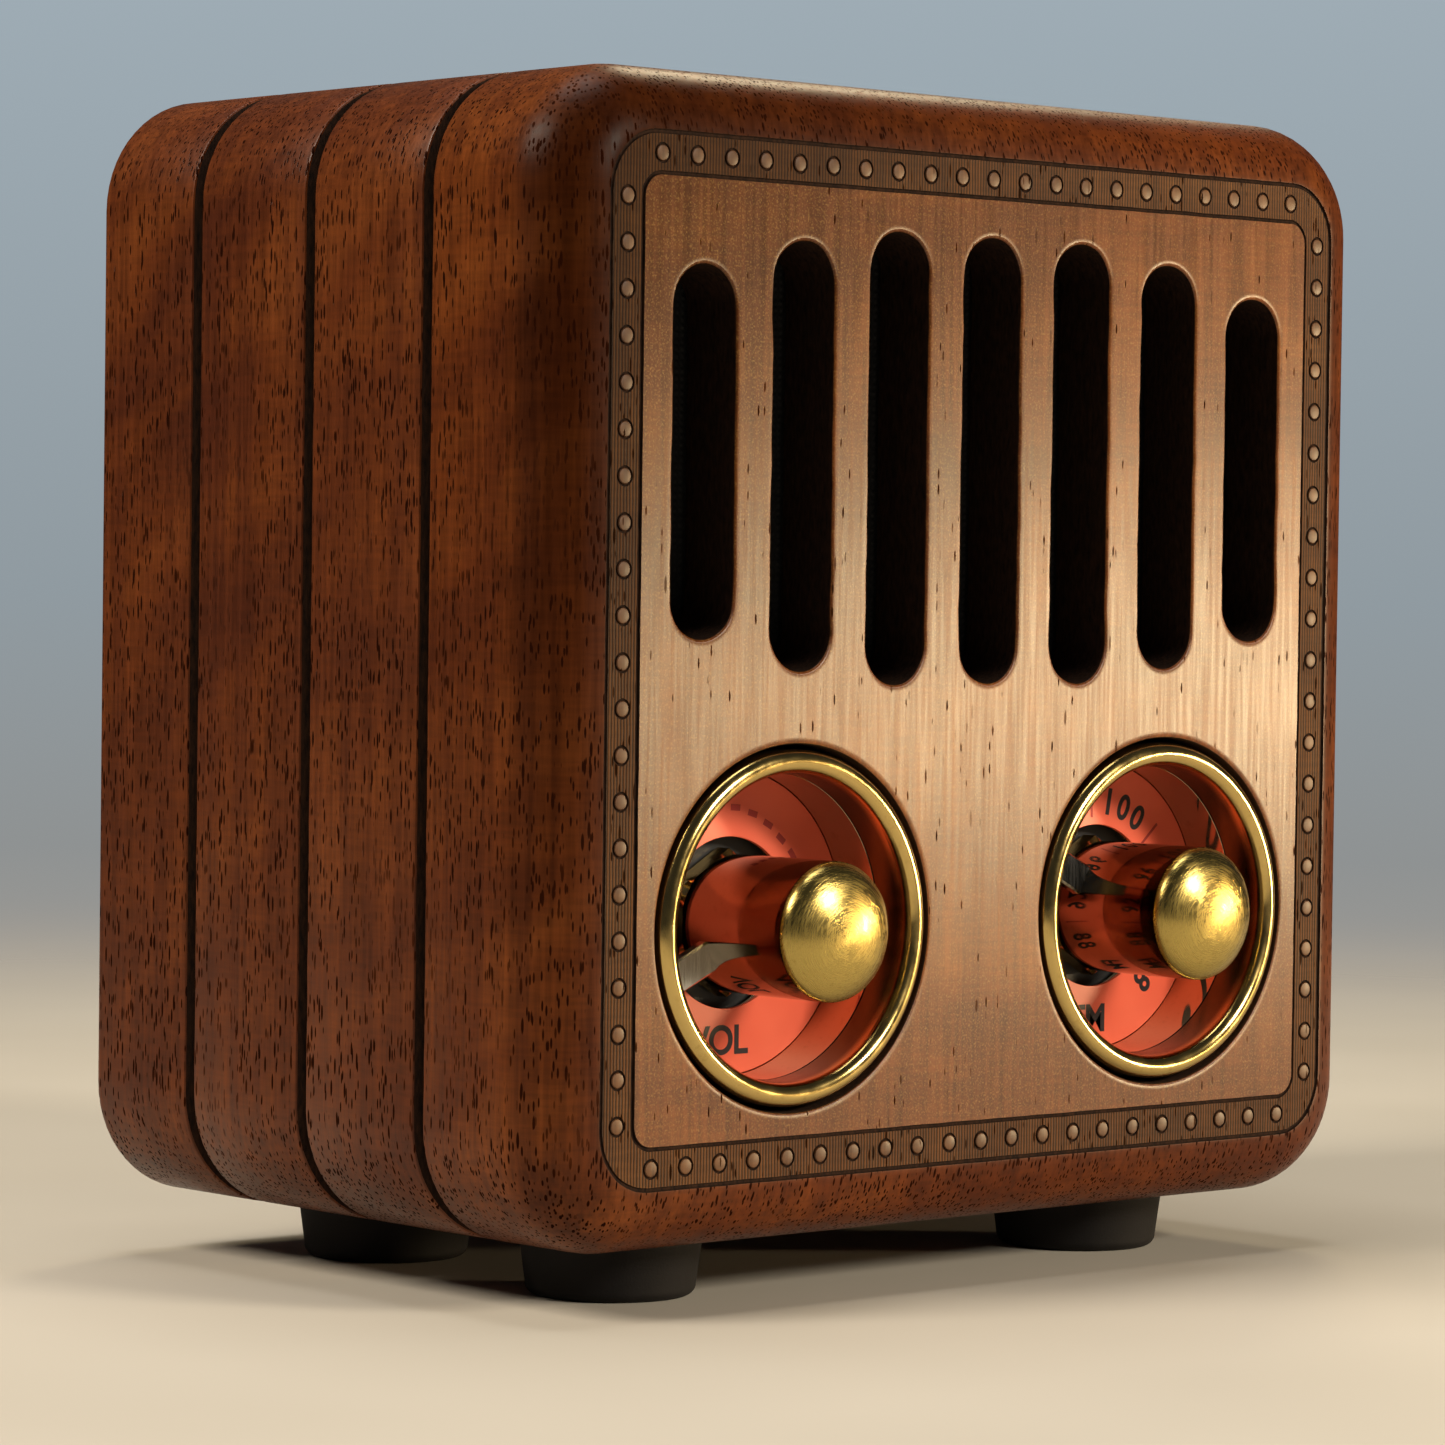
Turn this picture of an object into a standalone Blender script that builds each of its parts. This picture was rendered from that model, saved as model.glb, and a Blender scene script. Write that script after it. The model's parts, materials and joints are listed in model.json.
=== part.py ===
"""A miniature walnut-cased FM radio with two brass knobs, as an assembly of separate pieces.

Sizes are in millimetres, and the helpers turn them into metres as they make each mesh.
"Depth" runs from the front face towards the back, along +Y. Height is +Z, and the feet
stand on z = 0. The origin is at the middle of the bounding box's bottom.
"""

import math

import bmesh
import bpy

MM = 0.001

# Driving dimensions.
BODY_SIZE = 79.0  # width and height of the wooden case
BODY_DEPTH = 51.0
CORNER_RADIUS = 8.3  # of the case's outline, seen from the front
FRONT_FILLET = 5.2
REAR_FILLET = 0.8
WALL = 5.0
FOOT_HEIGHT = 4.2
SEAMS = (13.5, 26.4, 39.4)  # depths of the three joints between the wooden layers
WELL_X = 17.9  # the two dial wells, left and right of the middle
WELL_Z = -18.0
WELL_RADIUS = 12.46
CUP_INNER = 10.5
CUP_OUTER = 11.2
KNOB_RADIUS = 4.75
KNOB_EDGE = -3.7  # depth of the knob's rim, in front of the front face
KNOB_DOME = 2.1
SHAFT_RADIUS = 3.0
SPEAKER_Z = 13.9
SLOT_PITCH = 8.87
SLOT_WIDTH = 5.55
SLOT_ENDS = ((29.4, -1.6), (29.4, -1.6), (28.3, -0.6), (26.3, 1.4))  # top and bottom, middle slot first

# Clearances.
GAP = 0.3  # between pieces that rest on each other
SEAT = 0.1  # between small seated pieces
RUNNING = 0.08  # between a shaft and its bush

# Seams between the wooden layers.
GROOVE_HALF = 0.55
GROOVE_DEPTH = 1.0
SPIGOT_INSET = 3.2
SPIGOT_LENGTH = 1.6
REBATE_DEPTH = 2.0

# Depths of what is inside.
CLOTH = (WALL + GAP, WALL + GAP + 0.5)
CUP_RIM = 3.1
CARD = (6.8, 7.1)
CUP_FLOOR = (7.4, 8.0)
CHASSIS = (8.3, 10.3)
SHAFT_END = 15.1
FLANGE = (11.2, 12.2)
BOARD = (29.0, 30.6)
BACK_INSIDE = BODY_DEPTH - WALL
TIE_SCREW = 31.5  # across, from the middle, of the four long screws
BOARD_POSTS = ((-24.0, 3.0), (24.0, 3.0), (-7.0, -30.0), (7.0, -30.0))
SPEAKER_SCREW = 17.3
SPEAKER_SIZE = 40.0  # side of the square flange
FOOT_X = 22.8
FOOT_DEPTH = 13.0  # from the front or back face
SOCKET_Z = -24.0
BATTERY_Z = 10.0

# Placement in the row frame.
KNOB_PROUD = KNOB_DOME - KNOB_EDGE
FRONT_Y = -(BODY_DEPTH - KNOB_PROUD) / 2
MIDDLE_Z = FOOT_HEIGHT + BODY_SIZE / 2
FACING_BACK = (-math.pi / 2, 0.0, 0.0)  # turns local +Z to +Y and local +Y to -Z

FINE_ROUND = 40  # sides of a piece that shows on the front
ROUND = 32
SMALL_ROUND = 20
SCREW_ROUND = 10
CORNER_STEPS = 5

LOOKS = {
    "walnut_front": ((0.28, 0.14, 0.075), 0.45, 0.0),
    "walnut_side": ((0.16, 0.05, 0.025), 0.38, 0.0),
    "brass": ((0.80, 0.60, 0.24), 0.22, 1.0),
    "dial_red": ((0.82, 0.20, 0.13), 0.5, 0.0),
    "chrome": ((0.70, 0.69, 0.66), 0.18, 1.0),
    "steel": ((0.45, 0.45, 0.46), 0.35, 1.0),
    "rubber": ((0.02, 0.02, 0.021), 0.75, 0.0),
    "cloth": ((0.01, 0.01, 0.01), 0.95, 0.0),
    "black_plastic": ((0.02, 0.02, 0.022), 0.5, 0.0),
    "paper": ((0.03, 0.03, 0.032), 0.85, 0.0),
    "ferrite": ((0.06, 0.06, 0.065), 0.6, 0.0),
    "copper": ((0.72, 0.33, 0.16), 0.35, 1.0),
    "board": ((0.02, 0.14, 0.06), 0.4, 0.0),
    "foil": ((0.55, 0.56, 0.58), 0.4, 0.3),
    "lead_red": ((0.5, 0.02, 0.02), 0.5, 0.0),
    "lead_black": ((0.015, 0.015, 0.015), 0.5, 0.0),
}


def clear_scene():
    for obj in list(bpy.data.objects):
        bpy.data.objects.remove(obj)


def make_look(name):
    colour, roughness, metallic = LOOKS[name]
    look = bpy.data.materials.new(name)
    look.use_nodes = True
    shader = look.node_tree.nodes["Principled BSDF"]
    shader.inputs["Base Color"].default_value = (*colour, 1.0)
    shader.inputs["Roughness"].default_value = roughness
    shader.inputs["Metallic"].default_value = metallic
    return look


def look_named(name):
    return bpy.data.materials.get(name) or make_look(name)


def add_object(name, data, look, place=(0.0, 0.0), turn=FACING_BACK, parent=None):
    """Puts a mesh or curve at (across, up) from the middle of the front face, or under a parent."""
    obj = bpy.data.objects.new(name, data)
    bpy.context.scene.collection.objects.link(obj)
    if look:
        data.materials.append(look_named(look))
    if parent:
        obj.parent = parent
    else:
        obj.location = (place[0] * MM, FRONT_Y * MM, (MIDDLE_Z + place[1]) * MM)
        obj.rotation_euler = turn
    return obj


def finish_mesh(name, bm, smooth_angle=35.0):
    """Welds, turns the faces outwards, scales to metres and shades smooth up to the given angle."""
    bmesh.ops.remove_doubles(bm, verts=bm.verts, dist=1e-4)
    bmesh.ops.recalc_face_normals(bm, faces=bm.faces)
    bmesh.ops.scale(bm, vec=(MM, MM, MM), verts=bm.verts)
    mesh = bpy.data.meshes.new(name)
    bm.to_mesh(mesh)
    bm.free()
    mesh.shade_smooth()
    mesh.set_sharp_from_angle(angle=math.radians(smooth_angle))
    return mesh


def turned(name, profile, look, sides=ROUND, place=(0.0, 0.0), turn=FACING_BACK, parent=None):
    """A lathe piece: (radius, depth) points, which close on themselves or end on the axis."""
    bm = bmesh.new()
    verts = [bm.verts.new((radius, 0.0, depth)) for radius, depth in profile]
    edges = [bm.edges.new(pair) for pair in zip(verts, verts[1:])]
    if profile[0][0] > 0 or profile[-1][0] > 0:
        edges.append(bm.edges.new((verts[-1], verts[0])))
    bmesh.ops.spin(
        bm, geom=verts + edges, cent=(0, 0, 0), axis=(0, 0, 1), dvec=(0, 0, 0), angle=math.tau, steps=sides
    )
    return add_object(name, finish_mesh(name, bm), look, place, turn, parent)


def rounded_outline(width, height, radius, steps=CORNER_STEPS):
    """Points of a rectangle with round corners, anticlockwise, centred on (0, 0)."""
    points = []
    for quarter in range(4):
        side_x = 1 if quarter in (0, 3) else -1
        side_y = 1 if quarter in (0, 1) else -1
        for step in range(steps + 1):
            angle = (quarter + step / steps) * math.pi / 2
            points.append(
                (
                    side_x * (width / 2 - radius) + radius * math.cos(angle),
                    side_y * (height / 2 - radius) + radius * math.sin(angle),
                )
            )
    return points


def lofted(name, outlines, depths, look, closed=False, place=(0.0, 0.0)):
    """Joins outlines of equal length, one at each depth. It is capped, or closed into a ring."""
    bm = bmesh.new()
    rings = [[bm.verts.new((x, -y, depth)) for x, y in outline] for outline, depth in zip(outlines, depths)]
    following = rings[1:] + rings[:1] if closed else rings[1:]
    for first, second in zip(rings, following):
        for i in range(len(first)):
            j = (i + 1) % len(first)
            bm.faces.new((first[i], first[j], second[j], second[i]))
    if not closed:
        bm.faces.new(rings[0])
        bm.faces.new(rings[-1])
    return add_object(name, finish_mesh(name, bm), look, place)


def case_layer(name, sections, closed):
    """A wooden layer from (inset from the outer face, depth) points."""
    outlines = []
    for inset, _ in sections:
        side = BODY_SIZE - 2 * inset
        outlines.append(rounded_outline(side, side, CORNER_RADIUS - inset))
    return lofted(name, outlines, [depth for _, depth in sections], "walnut_side", closed)


def plate(name, width, height, radius, depths, look, place=(0.0, 0.0)):
    outline = rounded_outline(width, height, radius)
    return lofted(name, (outline, outline), depths, look, place=place)


def rod(name, radius, depths, look, sides=SCREW_ROUND, place=(0.0, 0.0)):
    profile = ((0, depths[0]), (radius, depths[0]), (radius, depths[1]), (0, depths[1]))
    return turned(name, profile, look, sides, place)


def helper(obj):
    """Marks a cutter, or a shape that a union takes in, as no piece of its own."""
    obj.hide_render = True
    obj.display_type = "WIRE"
    return obj


def combine(target, other, operation):
    modifier = target.modifiers.new(f"{operation.lower()}_{other.name}", "BOOLEAN")
    modifier.operation = operation
    modifier.object = helper(other)


def cut(target, *cutters):
    for cutter in cutters:
        combine(target, cutter, "DIFFERENCE")


def fuse(target, *others):
    for other in others:
        combine(target, other, "UNION")


def corner_places(across, up_offset=0.0):
    return [(x * across, z * across + up_offset) for z in (1, -1) for x in (-1, 1)]


# The wooden case: a front slab, two rings and a rear slab.


def layer_front_edge(seam):
    """The face towards the layer in front, from inside to outside: a spigot and half a groove."""
    face = seam + GAP / 2
    tip = face - SPIGOT_LENGTH
    return [
        (WALL, tip),
        (SPIGOT_INSET, tip),
        (SPIGOT_INSET, face),
        (GROOVE_DEPTH, face),
        (0.0, seam + GROOVE_HALF),
    ]


def layer_rear_edge(seam):
    """The face towards the layer behind, from outside to inside: half a groove and a rebate."""
    face = seam - GAP / 2
    rebate = SPIGOT_INSET - GAP
    return [
        (0.0, seam - GROOVE_HALF),
        (GROOVE_DEPTH, face),
        (rebate, face),
        (rebate, face - REBATE_DEPTH),
        (WALL, face - REBATE_DEPTH),
    ]


def fillet(radius, depth_of_face, towards_back, steps):
    """Quarter circle from the flat face to the side, as (inset, depth) points."""
    points = []
    for step in range(steps + 1):
        angle = step / steps * math.pi / 2
        depth = radius - radius * math.cos(angle)
        points.append((radius - radius * math.sin(angle), depth_of_face + towards_back * depth))
    return points


def slot_cutter(index):
    top, bottom = SLOT_ENDS[abs(index)]
    place = (index * SLOT_PITCH, (top + bottom) / 2)
    outline = rounded_outline(SLOT_WIDTH, top - bottom, SLOT_WIDTH / 2 - 0.01)
    return lofted(f"slot_cutter_{index + 4}", (outline, outline), (-1, WALL + 1), None, place=place)


def front_panel():
    sections = fillet(FRONT_FILLET, 0.0, 1, 6) + layer_rear_edge(SEAMS[0]) + [(WALL, WALL)]
    panel = case_layer("front_panel", sections, closed=False)
    panel.data.materials[0] = look_named("walnut_front")
    for number, place in enumerate(corner_places(TIE_SCREW), 1):
        fuse(panel, rod(f"boss_{number}", 2.6, (WALL - 0.8, CHASSIS[0] - GAP), None, SCREW_ROUND, place))
        cut(panel, rod(f"pilot_hole_{number}", 1.55, (2.0, CHASSIS[0]), None, SCREW_ROUND, place))
    cut(panel, *(slot_cutter(index) for index in range(-3, 4)))
    for side in (-1, 1):
        place = (side * WELL_X, WELL_Z)
        cut(panel, rod(f"well_cutter_{side}", WELL_RADIUS, (-1, WALL + 1), None, FINE_ROUND, place))


def case_rings():
    names = ("case_frame_front", "case_frame_rear")
    for name, first, last in zip(names, SEAMS, SEAMS[1:]):
        case_layer(name, layer_front_edge(first) + layer_rear_edge(last), closed=True)


def rear_cover():
    inside = [(WALL, BACK_INSIDE)]
    back = fillet(REAR_FILLET, BODY_DEPTH, -1, 3)[::-1]
    cover = case_layer("rear_cover", inside + layer_front_edge(SEAMS[2]) + back, closed=False)
    start, end = BACK_INSIDE - 1, BODY_DEPTH + 1
    narrow, wide, ledge = 1.6, 2.7, BODY_DEPTH - 1.9
    steps = ((0, start), (narrow, start), (narrow, ledge), (wide, ledge), (wide, end), (0, end))
    for number, place in enumerate(corner_places(TIE_SCREW), 1):
        cut(cover, turned(f"screw_hole_{number}", steps, None, SCREW_ROUND, place))
    cut(cover, plate("socket_hole", 10.0, 4.4, 2.1, (start, end), None, (0, SOCKET_Z)))


def tie_screws():
    tip, under_head, top = 2.6, BODY_DEPTH - 1.6, BODY_DEPTH - 0.3
    shank, head, bevel = 1.25, 2.3, 0.3
    stem = ((0, tip), (shank, tip), (shank, under_head))
    cap = ((head, under_head), (head, top - bevel), (head - bevel, top), (0, top))
    for number, place in enumerate(corner_places(TIE_SCREW), 1):
        turned(f"case_screw_{number}", stem + cap, "brass", SCREW_ROUND, place)


def feet():
    """Tapered rubber feet, wider at the top, with a rounded lower edge."""
    top = FOOT_HEIGHT - SEAT
    profile = ((0, 0), (5.1, 0), (5.65, 0.2), (5.95, 0.75), (6.4, top), (0, top))
    for depth_name, depth in (("front", FOOT_DEPTH), ("rear", BODY_DEPTH - FOOT_DEPTH)):
        for side_name, side in (("left", -1), ("right", 1)):
            foot = turned(f"foot_{depth_name}_{side_name}", profile, "rubber", SMALL_ROUND, turn=(0, 0, 0))
            foot.location = (side * FOOT_X * MM, (FRONT_Y + depth) * MM, 0)


# The two dials, each with a bezel, a cup, a card, a knob on a shaft and a control behind.


def bezel(name, place):
    """A ring with a rounded front, and a sleeve that goes into the well as far as the cup."""
    middle, half_width, crown, shoulder = 11.3, 0.8, 0.45, 1.6
    arc = []
    for step in range(8):
        angle = step / 7 * math.pi
        arc.append((middle + half_width * math.cos(angle), crown - 0.85 * math.sin(angle)))
    sleeve = [(CUP_INNER, CUP_RIM - SEAT), (CUP_OUTER, CUP_RIM - SEAT), (CUP_OUTER, shoulder)]
    turned(name, arc + sleeve + [(middle + half_width, shoulder)], "brass", FINE_ROUND, place)


def dial_cup(name, place):
    hole = 6.2
    profile = (
        (CUP_INNER, CUP_RIM),
        (CUP_INNER, CUP_FLOOR[0]),
        (hole, CUP_FLOOR[0]),
        (hole, CUP_FLOOR[1]),
        (CUP_OUTER, CUP_FLOOR[1]),
        (CUP_OUTER, CUP_RIM),
    )
    turned(name, profile, "brass", FINE_ROUND, place)


def dial_card(name, place):
    inner, outer = 5.9, CUP_INNER - SEAT
    front, back = CARD
    profile = ((inner, front), (outer, front), (outer, back), (inner, back))
    turned(name, profile, "dial_red", FINE_ROUND, place)


def knob_axis(name, place):
    empty = bpy.data.objects.new(name, None)
    bpy.context.scene.collection.objects.link(empty)
    empty.location = (place[0] * MM, FRONT_Y * MM, (MIDDLE_Z + place[1]) * MM)
    empty.rotation_euler = FACING_BACK
    return empty


def tab(name, reach, width, depths, look, axis, angle):
    """A flat bar that points away from the axis at the given angle, anticlockwise from +X."""
    outline = ((reach[0], -width / 2), (reach[1], -width / 2), (reach[1], width / 2), (reach[0], width / 2))
    obj = lofted(name, (outline, outline), depths, look)
    obj.parent = axis
    obj.location = (0, 0, 0)
    obj.rotation_euler = (0, 0, -math.radians(angle))
    return obj


def knob(name, axis, pointer_angle):
    rear, bore, bore_end = 6.0, 3.3, -1.6
    dome = []
    for step in range(7):
        angle = step / 6 * math.pi / 2
        dome.append((KNOB_RADIUS * math.sin(angle), KNOB_EDGE - KNOB_DOME * math.cos(angle)))
    inside = [(KNOB_RADIUS, rear), (bore, rear), (bore, bore_end), (0, bore_end)]
    grip = turned(f"{name}_knob", dome + inside, "brass", ROUND, parent=axis)
    front, back, width = 3.7, 4.6, 2.2
    tab(f"{name}_pointer", (4.2, 9.3), width, (front, back), "chrome", axis, pointer_angle)
    slot = (front - SEAT, back + SEAT)
    cut(grip, tab(f"{name}_pointer_slot", (4.1, 6), width + 2 * SEAT, slot, None, axis, pointer_angle))


def pot_shaft(name, axis):
    tip, bevel = -1.2, 0.4
    end = ((0, tip), (SHAFT_RADIUS - bevel, tip), (SHAFT_RADIUS, tip + bevel))
    profile = end + ((SHAFT_RADIUS, SHAFT_END), (0, SHAFT_END))
    turned(f"{name}_pot_shaft", profile, "steel", SMALL_ROUND, parent=axis)


def pot_body(name, place):
    bore, bush, can = SHAFT_RADIUS + RUNNING, 3.5, 8.3
    tip, front, back = 6.3, CHASSIS[1] + GAP, 17.6
    bottom = SHAFT_END + GAP
    hole = ((0, bottom), (bore, bottom), (bore, tip))
    outside = ((bush, tip), (bush, front), (can, front), (can, back), (0, back))
    body = turned(f"{name}_pot_body", hole + outside, "steel", SMALL_ROUND, place)
    below = (place[0], place[1] - 9.0)
    fuse(body, plate(f"{name}_terminals", 9, 8, 0.5, (front + 2, front + 3.5), None, below))


def pot_nut(name, place):
    depths = (6.5, 8.0)
    nut = rod(f"{name}_pot_nut", 5.1, depths, "brass", 6, place)
    cut(nut, rod(f"{name}_nut_thread", 3.8, (depths[0] - 1, depths[1] + 1), None, SMALL_ROUND, place))


def dial(name, side, pointer_angle):
    place = (side * WELL_X, WELL_Z)
    bezel(f"{name}_bezel", place)
    dial_cup(f"{name}_dial_cup", place)
    dial_card(f"{name}_dial_card", place)
    axis = knob_axis(f"{name}_axis", place)
    knob(name, axis, pointer_angle)
    pot_shaft(name, axis)
    pot_body(name, place)
    pot_nut(name, place)


# The speaker, from its flange to the yoke behind the magnet.


def speaker_basket():
    middle = (0, SPEAKER_Z)
    inside = [(17.0, FLANGE[0]), (16.9, 12.3), (12.2, 17.7), (8.0, 17.7)]
    outside = [(8.0, 18.9), (12.5, 18.9), (18.0, 12.6), (18.0, FLANGE[0])]
    basket = turned("speaker_basket", inside + outside, "steel", ROUND, middle)
    flange = plate("speaker_flange", SPEAKER_SIZE, SPEAKER_SIZE, 4, FLANGE, None, middle)
    opening = rod("flange_opening", 17.5, (FLANGE[0] - 1, FLANGE[1] + 1), None, ROUND, middle)
    cut(flange, opening)
    fuse(basket, flange)
    for number, turn in enumerate((math.pi / 4, -math.pi / 4), 1):
        window = plate(f"basket_window_{number}", 44, 10, 1, (13.6, 16.9), None, middle)
        window.rotation_euler = (-math.pi / 2, turn, 0)
        cut(basket, window)
    for number, place in enumerate(corner_places(SPEAKER_SCREW, SPEAKER_Z), 1):
        cut(basket, rod(f"flange_hole_{number}", 1.2, (FLANGE[0] - 1, FLANGE[1] + 1), None, 10, place))


def screw_profile(tip, under_head, shank, head, thickness):
    top = under_head + thickness
    return ((0, tip), (shank, tip), (shank, under_head), (head, under_head), (head, top), (0, top))


def speaker_screws():
    profile = screw_profile(CHASSIS[0] + 0.4, FLANGE[1] + GAP, 0.9, 1.8, 1.0)
    for number, place in enumerate(corner_places(SPEAKER_SCREW, SPEAKER_Z), 1):
        turned(f"speaker_screw_{number}", profile, "steel", SCREW_ROUND, place)


def speaker_surround():
    """A half roll between the cone's edge and the basket's flange."""
    front = []
    back = []
    for step in range(5):
        angle = math.pi - step / 4 * math.pi
        front.append((15.6 + 1.65 * math.cos(angle), 10.6 - 1.5 * math.sin(angle)))
        back.append((15.6 + 1.35 * math.cos(angle), 10.9 - 1.5 * math.sin(angle)))
    profile = [(13.2, 10.6)] + front + [(19.4, 10.6), (19.4, 10.9)] + back[::-1] + [(13.2, 10.9)]
    turned("speaker_surround", profile, "rubber", ROUND, (0, SPEAKER_Z))


def speaker_spider():
    """A corrugated disc that centres the voice coil."""
    front = []
    for step in range(9):
        front.append((5.7 + step * 0.75, 17.0 - 0.25 * math.sin(step * math.pi / 2)))
    profile = front + [(radius, depth + 0.3) for radius, depth in reversed(front)]
    turned("speaker_spider", profile, "copper", SMALL_ROUND, (0, SPEAKER_Z))


def speaker_cone(axis):
    outside = [(14.2, 11.2), (14.2, 11.6), (13.2, 11.6), (5.7, 16.5)]
    inside = [(5.3, 16.2), (13.0, 11.2)]
    turned("speaker_cone", outside + inside, "paper", ROUND, parent=axis)
    cap = []
    for step in range(4):
        angle = step / 3 * math.pi / 2
        cap.append((5.9 * math.sin(angle), 15.2 - 1.7 * math.cos(angle)))
    under = [(radius * 0.92, depth + 0.35) for radius, depth in reversed(cap)]
    turned("speaker_dust_cap", cap + under, "paper", SMALL_ROUND, parent=axis)
    former = ((4.7, 22.0), (4.7, 15.9), (5.0, 15.9))
    winding = ((5.0, 18.8), (5.3, 18.8), (5.3, 21.6), (5.0, 21.6))
    turned("voice_coil", former + winding + ((5.0, 22.0),), "copper", SMALL_ROUND, parent=axis)


def speaker_motor():
    middle = (0, SPEAKER_Z)
    front, pole, plate_radius = 19.2, 4.2, 12.0
    magnet_front = front + 2.0 + GAP
    magnet_back = magnet_front + 4.0
    yoke_front = magnet_back + GAP
    back = yoke_front + 1.7
    for name, inner, outer, depths, look in (
        ("speaker_top_plate", 5.6, plate_radius, (front, magnet_front - GAP), "steel"),
        ("speaker_magnet", 7.5, 13.0, (magnet_front, magnet_back), "ferrite"),
    ):
        profile = ((inner, depths[0]), (outer, depths[0]), (outer, depths[1]), (inner, depths[1]))
        turned(name, profile, look, ROUND, middle)
    post = ((0, front), (pole, front), (pole, yoke_front))
    disc = ((plate_radius, yoke_front), (plate_radius, back), (0, back))
    turned("speaker_yoke", post + disc, "steel", ROUND, middle)


# The chassis, the electronics and the leads between them.


def chassis_plate():
    side = BODY_SIZE - 2 * (WALL + GAP)
    chassis = plate("chassis_plate", side, side, CORNER_RADIUS - WALL - GAP, CHASSIS, "black_plastic")
    depths = (CHASSIS[0] - 1, CHASSIS[1] + 1)
    for number, place in enumerate(BOARD_POSTS, 1):
        fuse(chassis, rod(f"board_post_{number}", 2.4, (CHASSIS[1] - 0.5, BOARD[0] - GAP), None, 10, place))
        cut(chassis, rod(f"board_post_hole_{number}", 1.2, (BOARD[0] - 5, BOARD[0] + 1), None, 10, place))
    cut(chassis, rod("speaker_opening", 17.8, depths, None, ROUND, (0, SPEAKER_Z)))
    for side in (-1, 1):
        cut(chassis, rod(f"bush_hole_{side}", 3.9, depths, None, SMALL_ROUND, (side * WELL_X, WELL_Z)))
    for number, place in enumerate(corner_places(TIE_SCREW), 1):
        cut(chassis, rod(f"tie_hole_{number}", 1.6, depths, None, SCREW_ROUND, place))
    for number, place in enumerate(corner_places(SPEAKER_SCREW, SPEAKER_Z), 1):
        cut(chassis, rod(f"speaker_screw_hole_{number}", 1.2, depths, None, 10, place))


def electronics():
    board = plate("main_board", 58, 40, 1.5, BOARD, "board", (0, -13))
    for number, place in enumerate(BOARD_POSTS, 1):
        cut(board, rod(f"board_hole_{number}", 1.3, (BOARD[0] - 1, BOARD[1] + 1), None, 10, place))
        profile = screw_profile(BOARD[0] - 4.6, BOARD[1] + GAP, 1.0, 2.0, 1.2)
        turned(f"board_screw_{number}", profile, "steel", SCREW_ROUND, place)
    plate("tuner_module", 16, 12, 0.6, (BOARD[1] + GAP, BOARD[1] + 2.8), "foil", (16, -14))
    plate("amplifier_chip", 7, 7, 0.3, (BOARD[1] + GAP, BOARD[1] + 1.8), "black_plastic", (-14, -14))


def battery():
    width, height, wall = 53.0, 34.0, 1.4
    front, bottom = 36.0, BACK_INSIDE - GAP - 1.5
    place = (0, BATTERY_Z)
    tray = plate("battery_tray", width, height, 2.5, (front, BACK_INSIDE - GAP), "black_plastic", place)
    hollow = (width - 2 * wall, height - 2 * wall)
    cut(tray, plate("tray_hollow", *hollow, 1.4, (front - 1, bottom), None, place))
    cell = (hollow[0] - 2 * GAP, hollow[1] - 2 * GAP)
    plate("battery_cell", *cell, 1.3, (front - 0.4, bottom - GAP), "foil", place)


def charging_socket():
    width, height, wall = 9.0, 3.4, 0.35
    front, back = BACK_INSIDE - 2.4, BODY_DEPTH - 0.4
    place = (0, SOCKET_Z)
    socket = plate("charging_socket", width, height, 1.6, (front, back), "chrome", place)
    mouth = (width - 2 * wall, height - 2 * wall)
    cut(socket, plate("socket_mouth", *mouth, 1.3, (front + 2 * wall, back + 1), None, place))
    plate("charging_board", 20, 13, 1.0, (front - GAP - 1.6, front - GAP), "board", place)


def lead(name, points, look, radius=0.55):
    """A round wire through (across, depth, up) points, smoothed into one curve."""
    middle_of = [tuple((a + b) / 2 for a, b in zip(p, q)) for p, q in zip(points, points[1:])]
    smooth = [points[0]]
    for before, control, after in zip(middle_of, points[1:-1], middle_of[1:]):
        for step in range(3):
            t = step / 3
            weights = ((1 - t) ** 2, 2 * t * (1 - t), t * t)
            trios = zip(before, control, after)
            smooth.append(tuple(sum(w * c for w, c in zip(weights, trio)) for trio in trios))
    smooth += [middle_of[-1], points[-1]]
    curve = bpy.data.curves.new(name, "CURVE")
    curve.dimensions = "3D"
    curve.bevel_depth = radius * MM
    curve.bevel_resolution = 2
    curve.use_fill_caps = True
    spline = curve.splines.new("POLY")
    spline.points.add(len(smooth) - 1)
    for point, (across, depth, up) in zip(spline.points, smooth):
        point.co = (across * MM, (FRONT_Y + depth) * MM, (MIDDLE_Z + up) * MM, 1)
    wire = add_object(name, curve, look)
    wire.location = (0, 0, 0)
    wire.rotation_euler = (0, 0, 0)


def leads():
    for name, side, look in (("red", -1, "lead_red"), ("black", 1, "lead_black")):
        speaker = [(4, 15, -3.4), (5, 15, -5.5), (6, 18, -8), (6.5, 23, -9), (6.5, 26, -9), (6.5, 28.7, -9)]
        lead(f"speaker_lead_{name}", [(side * x, d, z) for x, d, z in speaker], look)
        battery_route = [(3, 37, -8), (3, 34, -8.6), (3, 32.5, -10), (3, 31.8, -12), (3, 31.8, -15)]
        lead(f"battery_lead_{name}", [(side * x, d, z) for x, d, z in battery_route], look)
    reach = 33.0
    route = [(27, -27), (27, -31), (20, -reach), (0, -reach), (-20, -reach), (-29, -29), (-reach, -20)]
    route += [(-reach, 0), (-reach, 20), (-29, 29), (-20, reach), (0, reach), (20, reach)]
    antenna = [(across, 32.5, up) for across, up in route]
    lead("fm_antenna_wire", antenna, "lead_black", 0.45)


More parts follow.
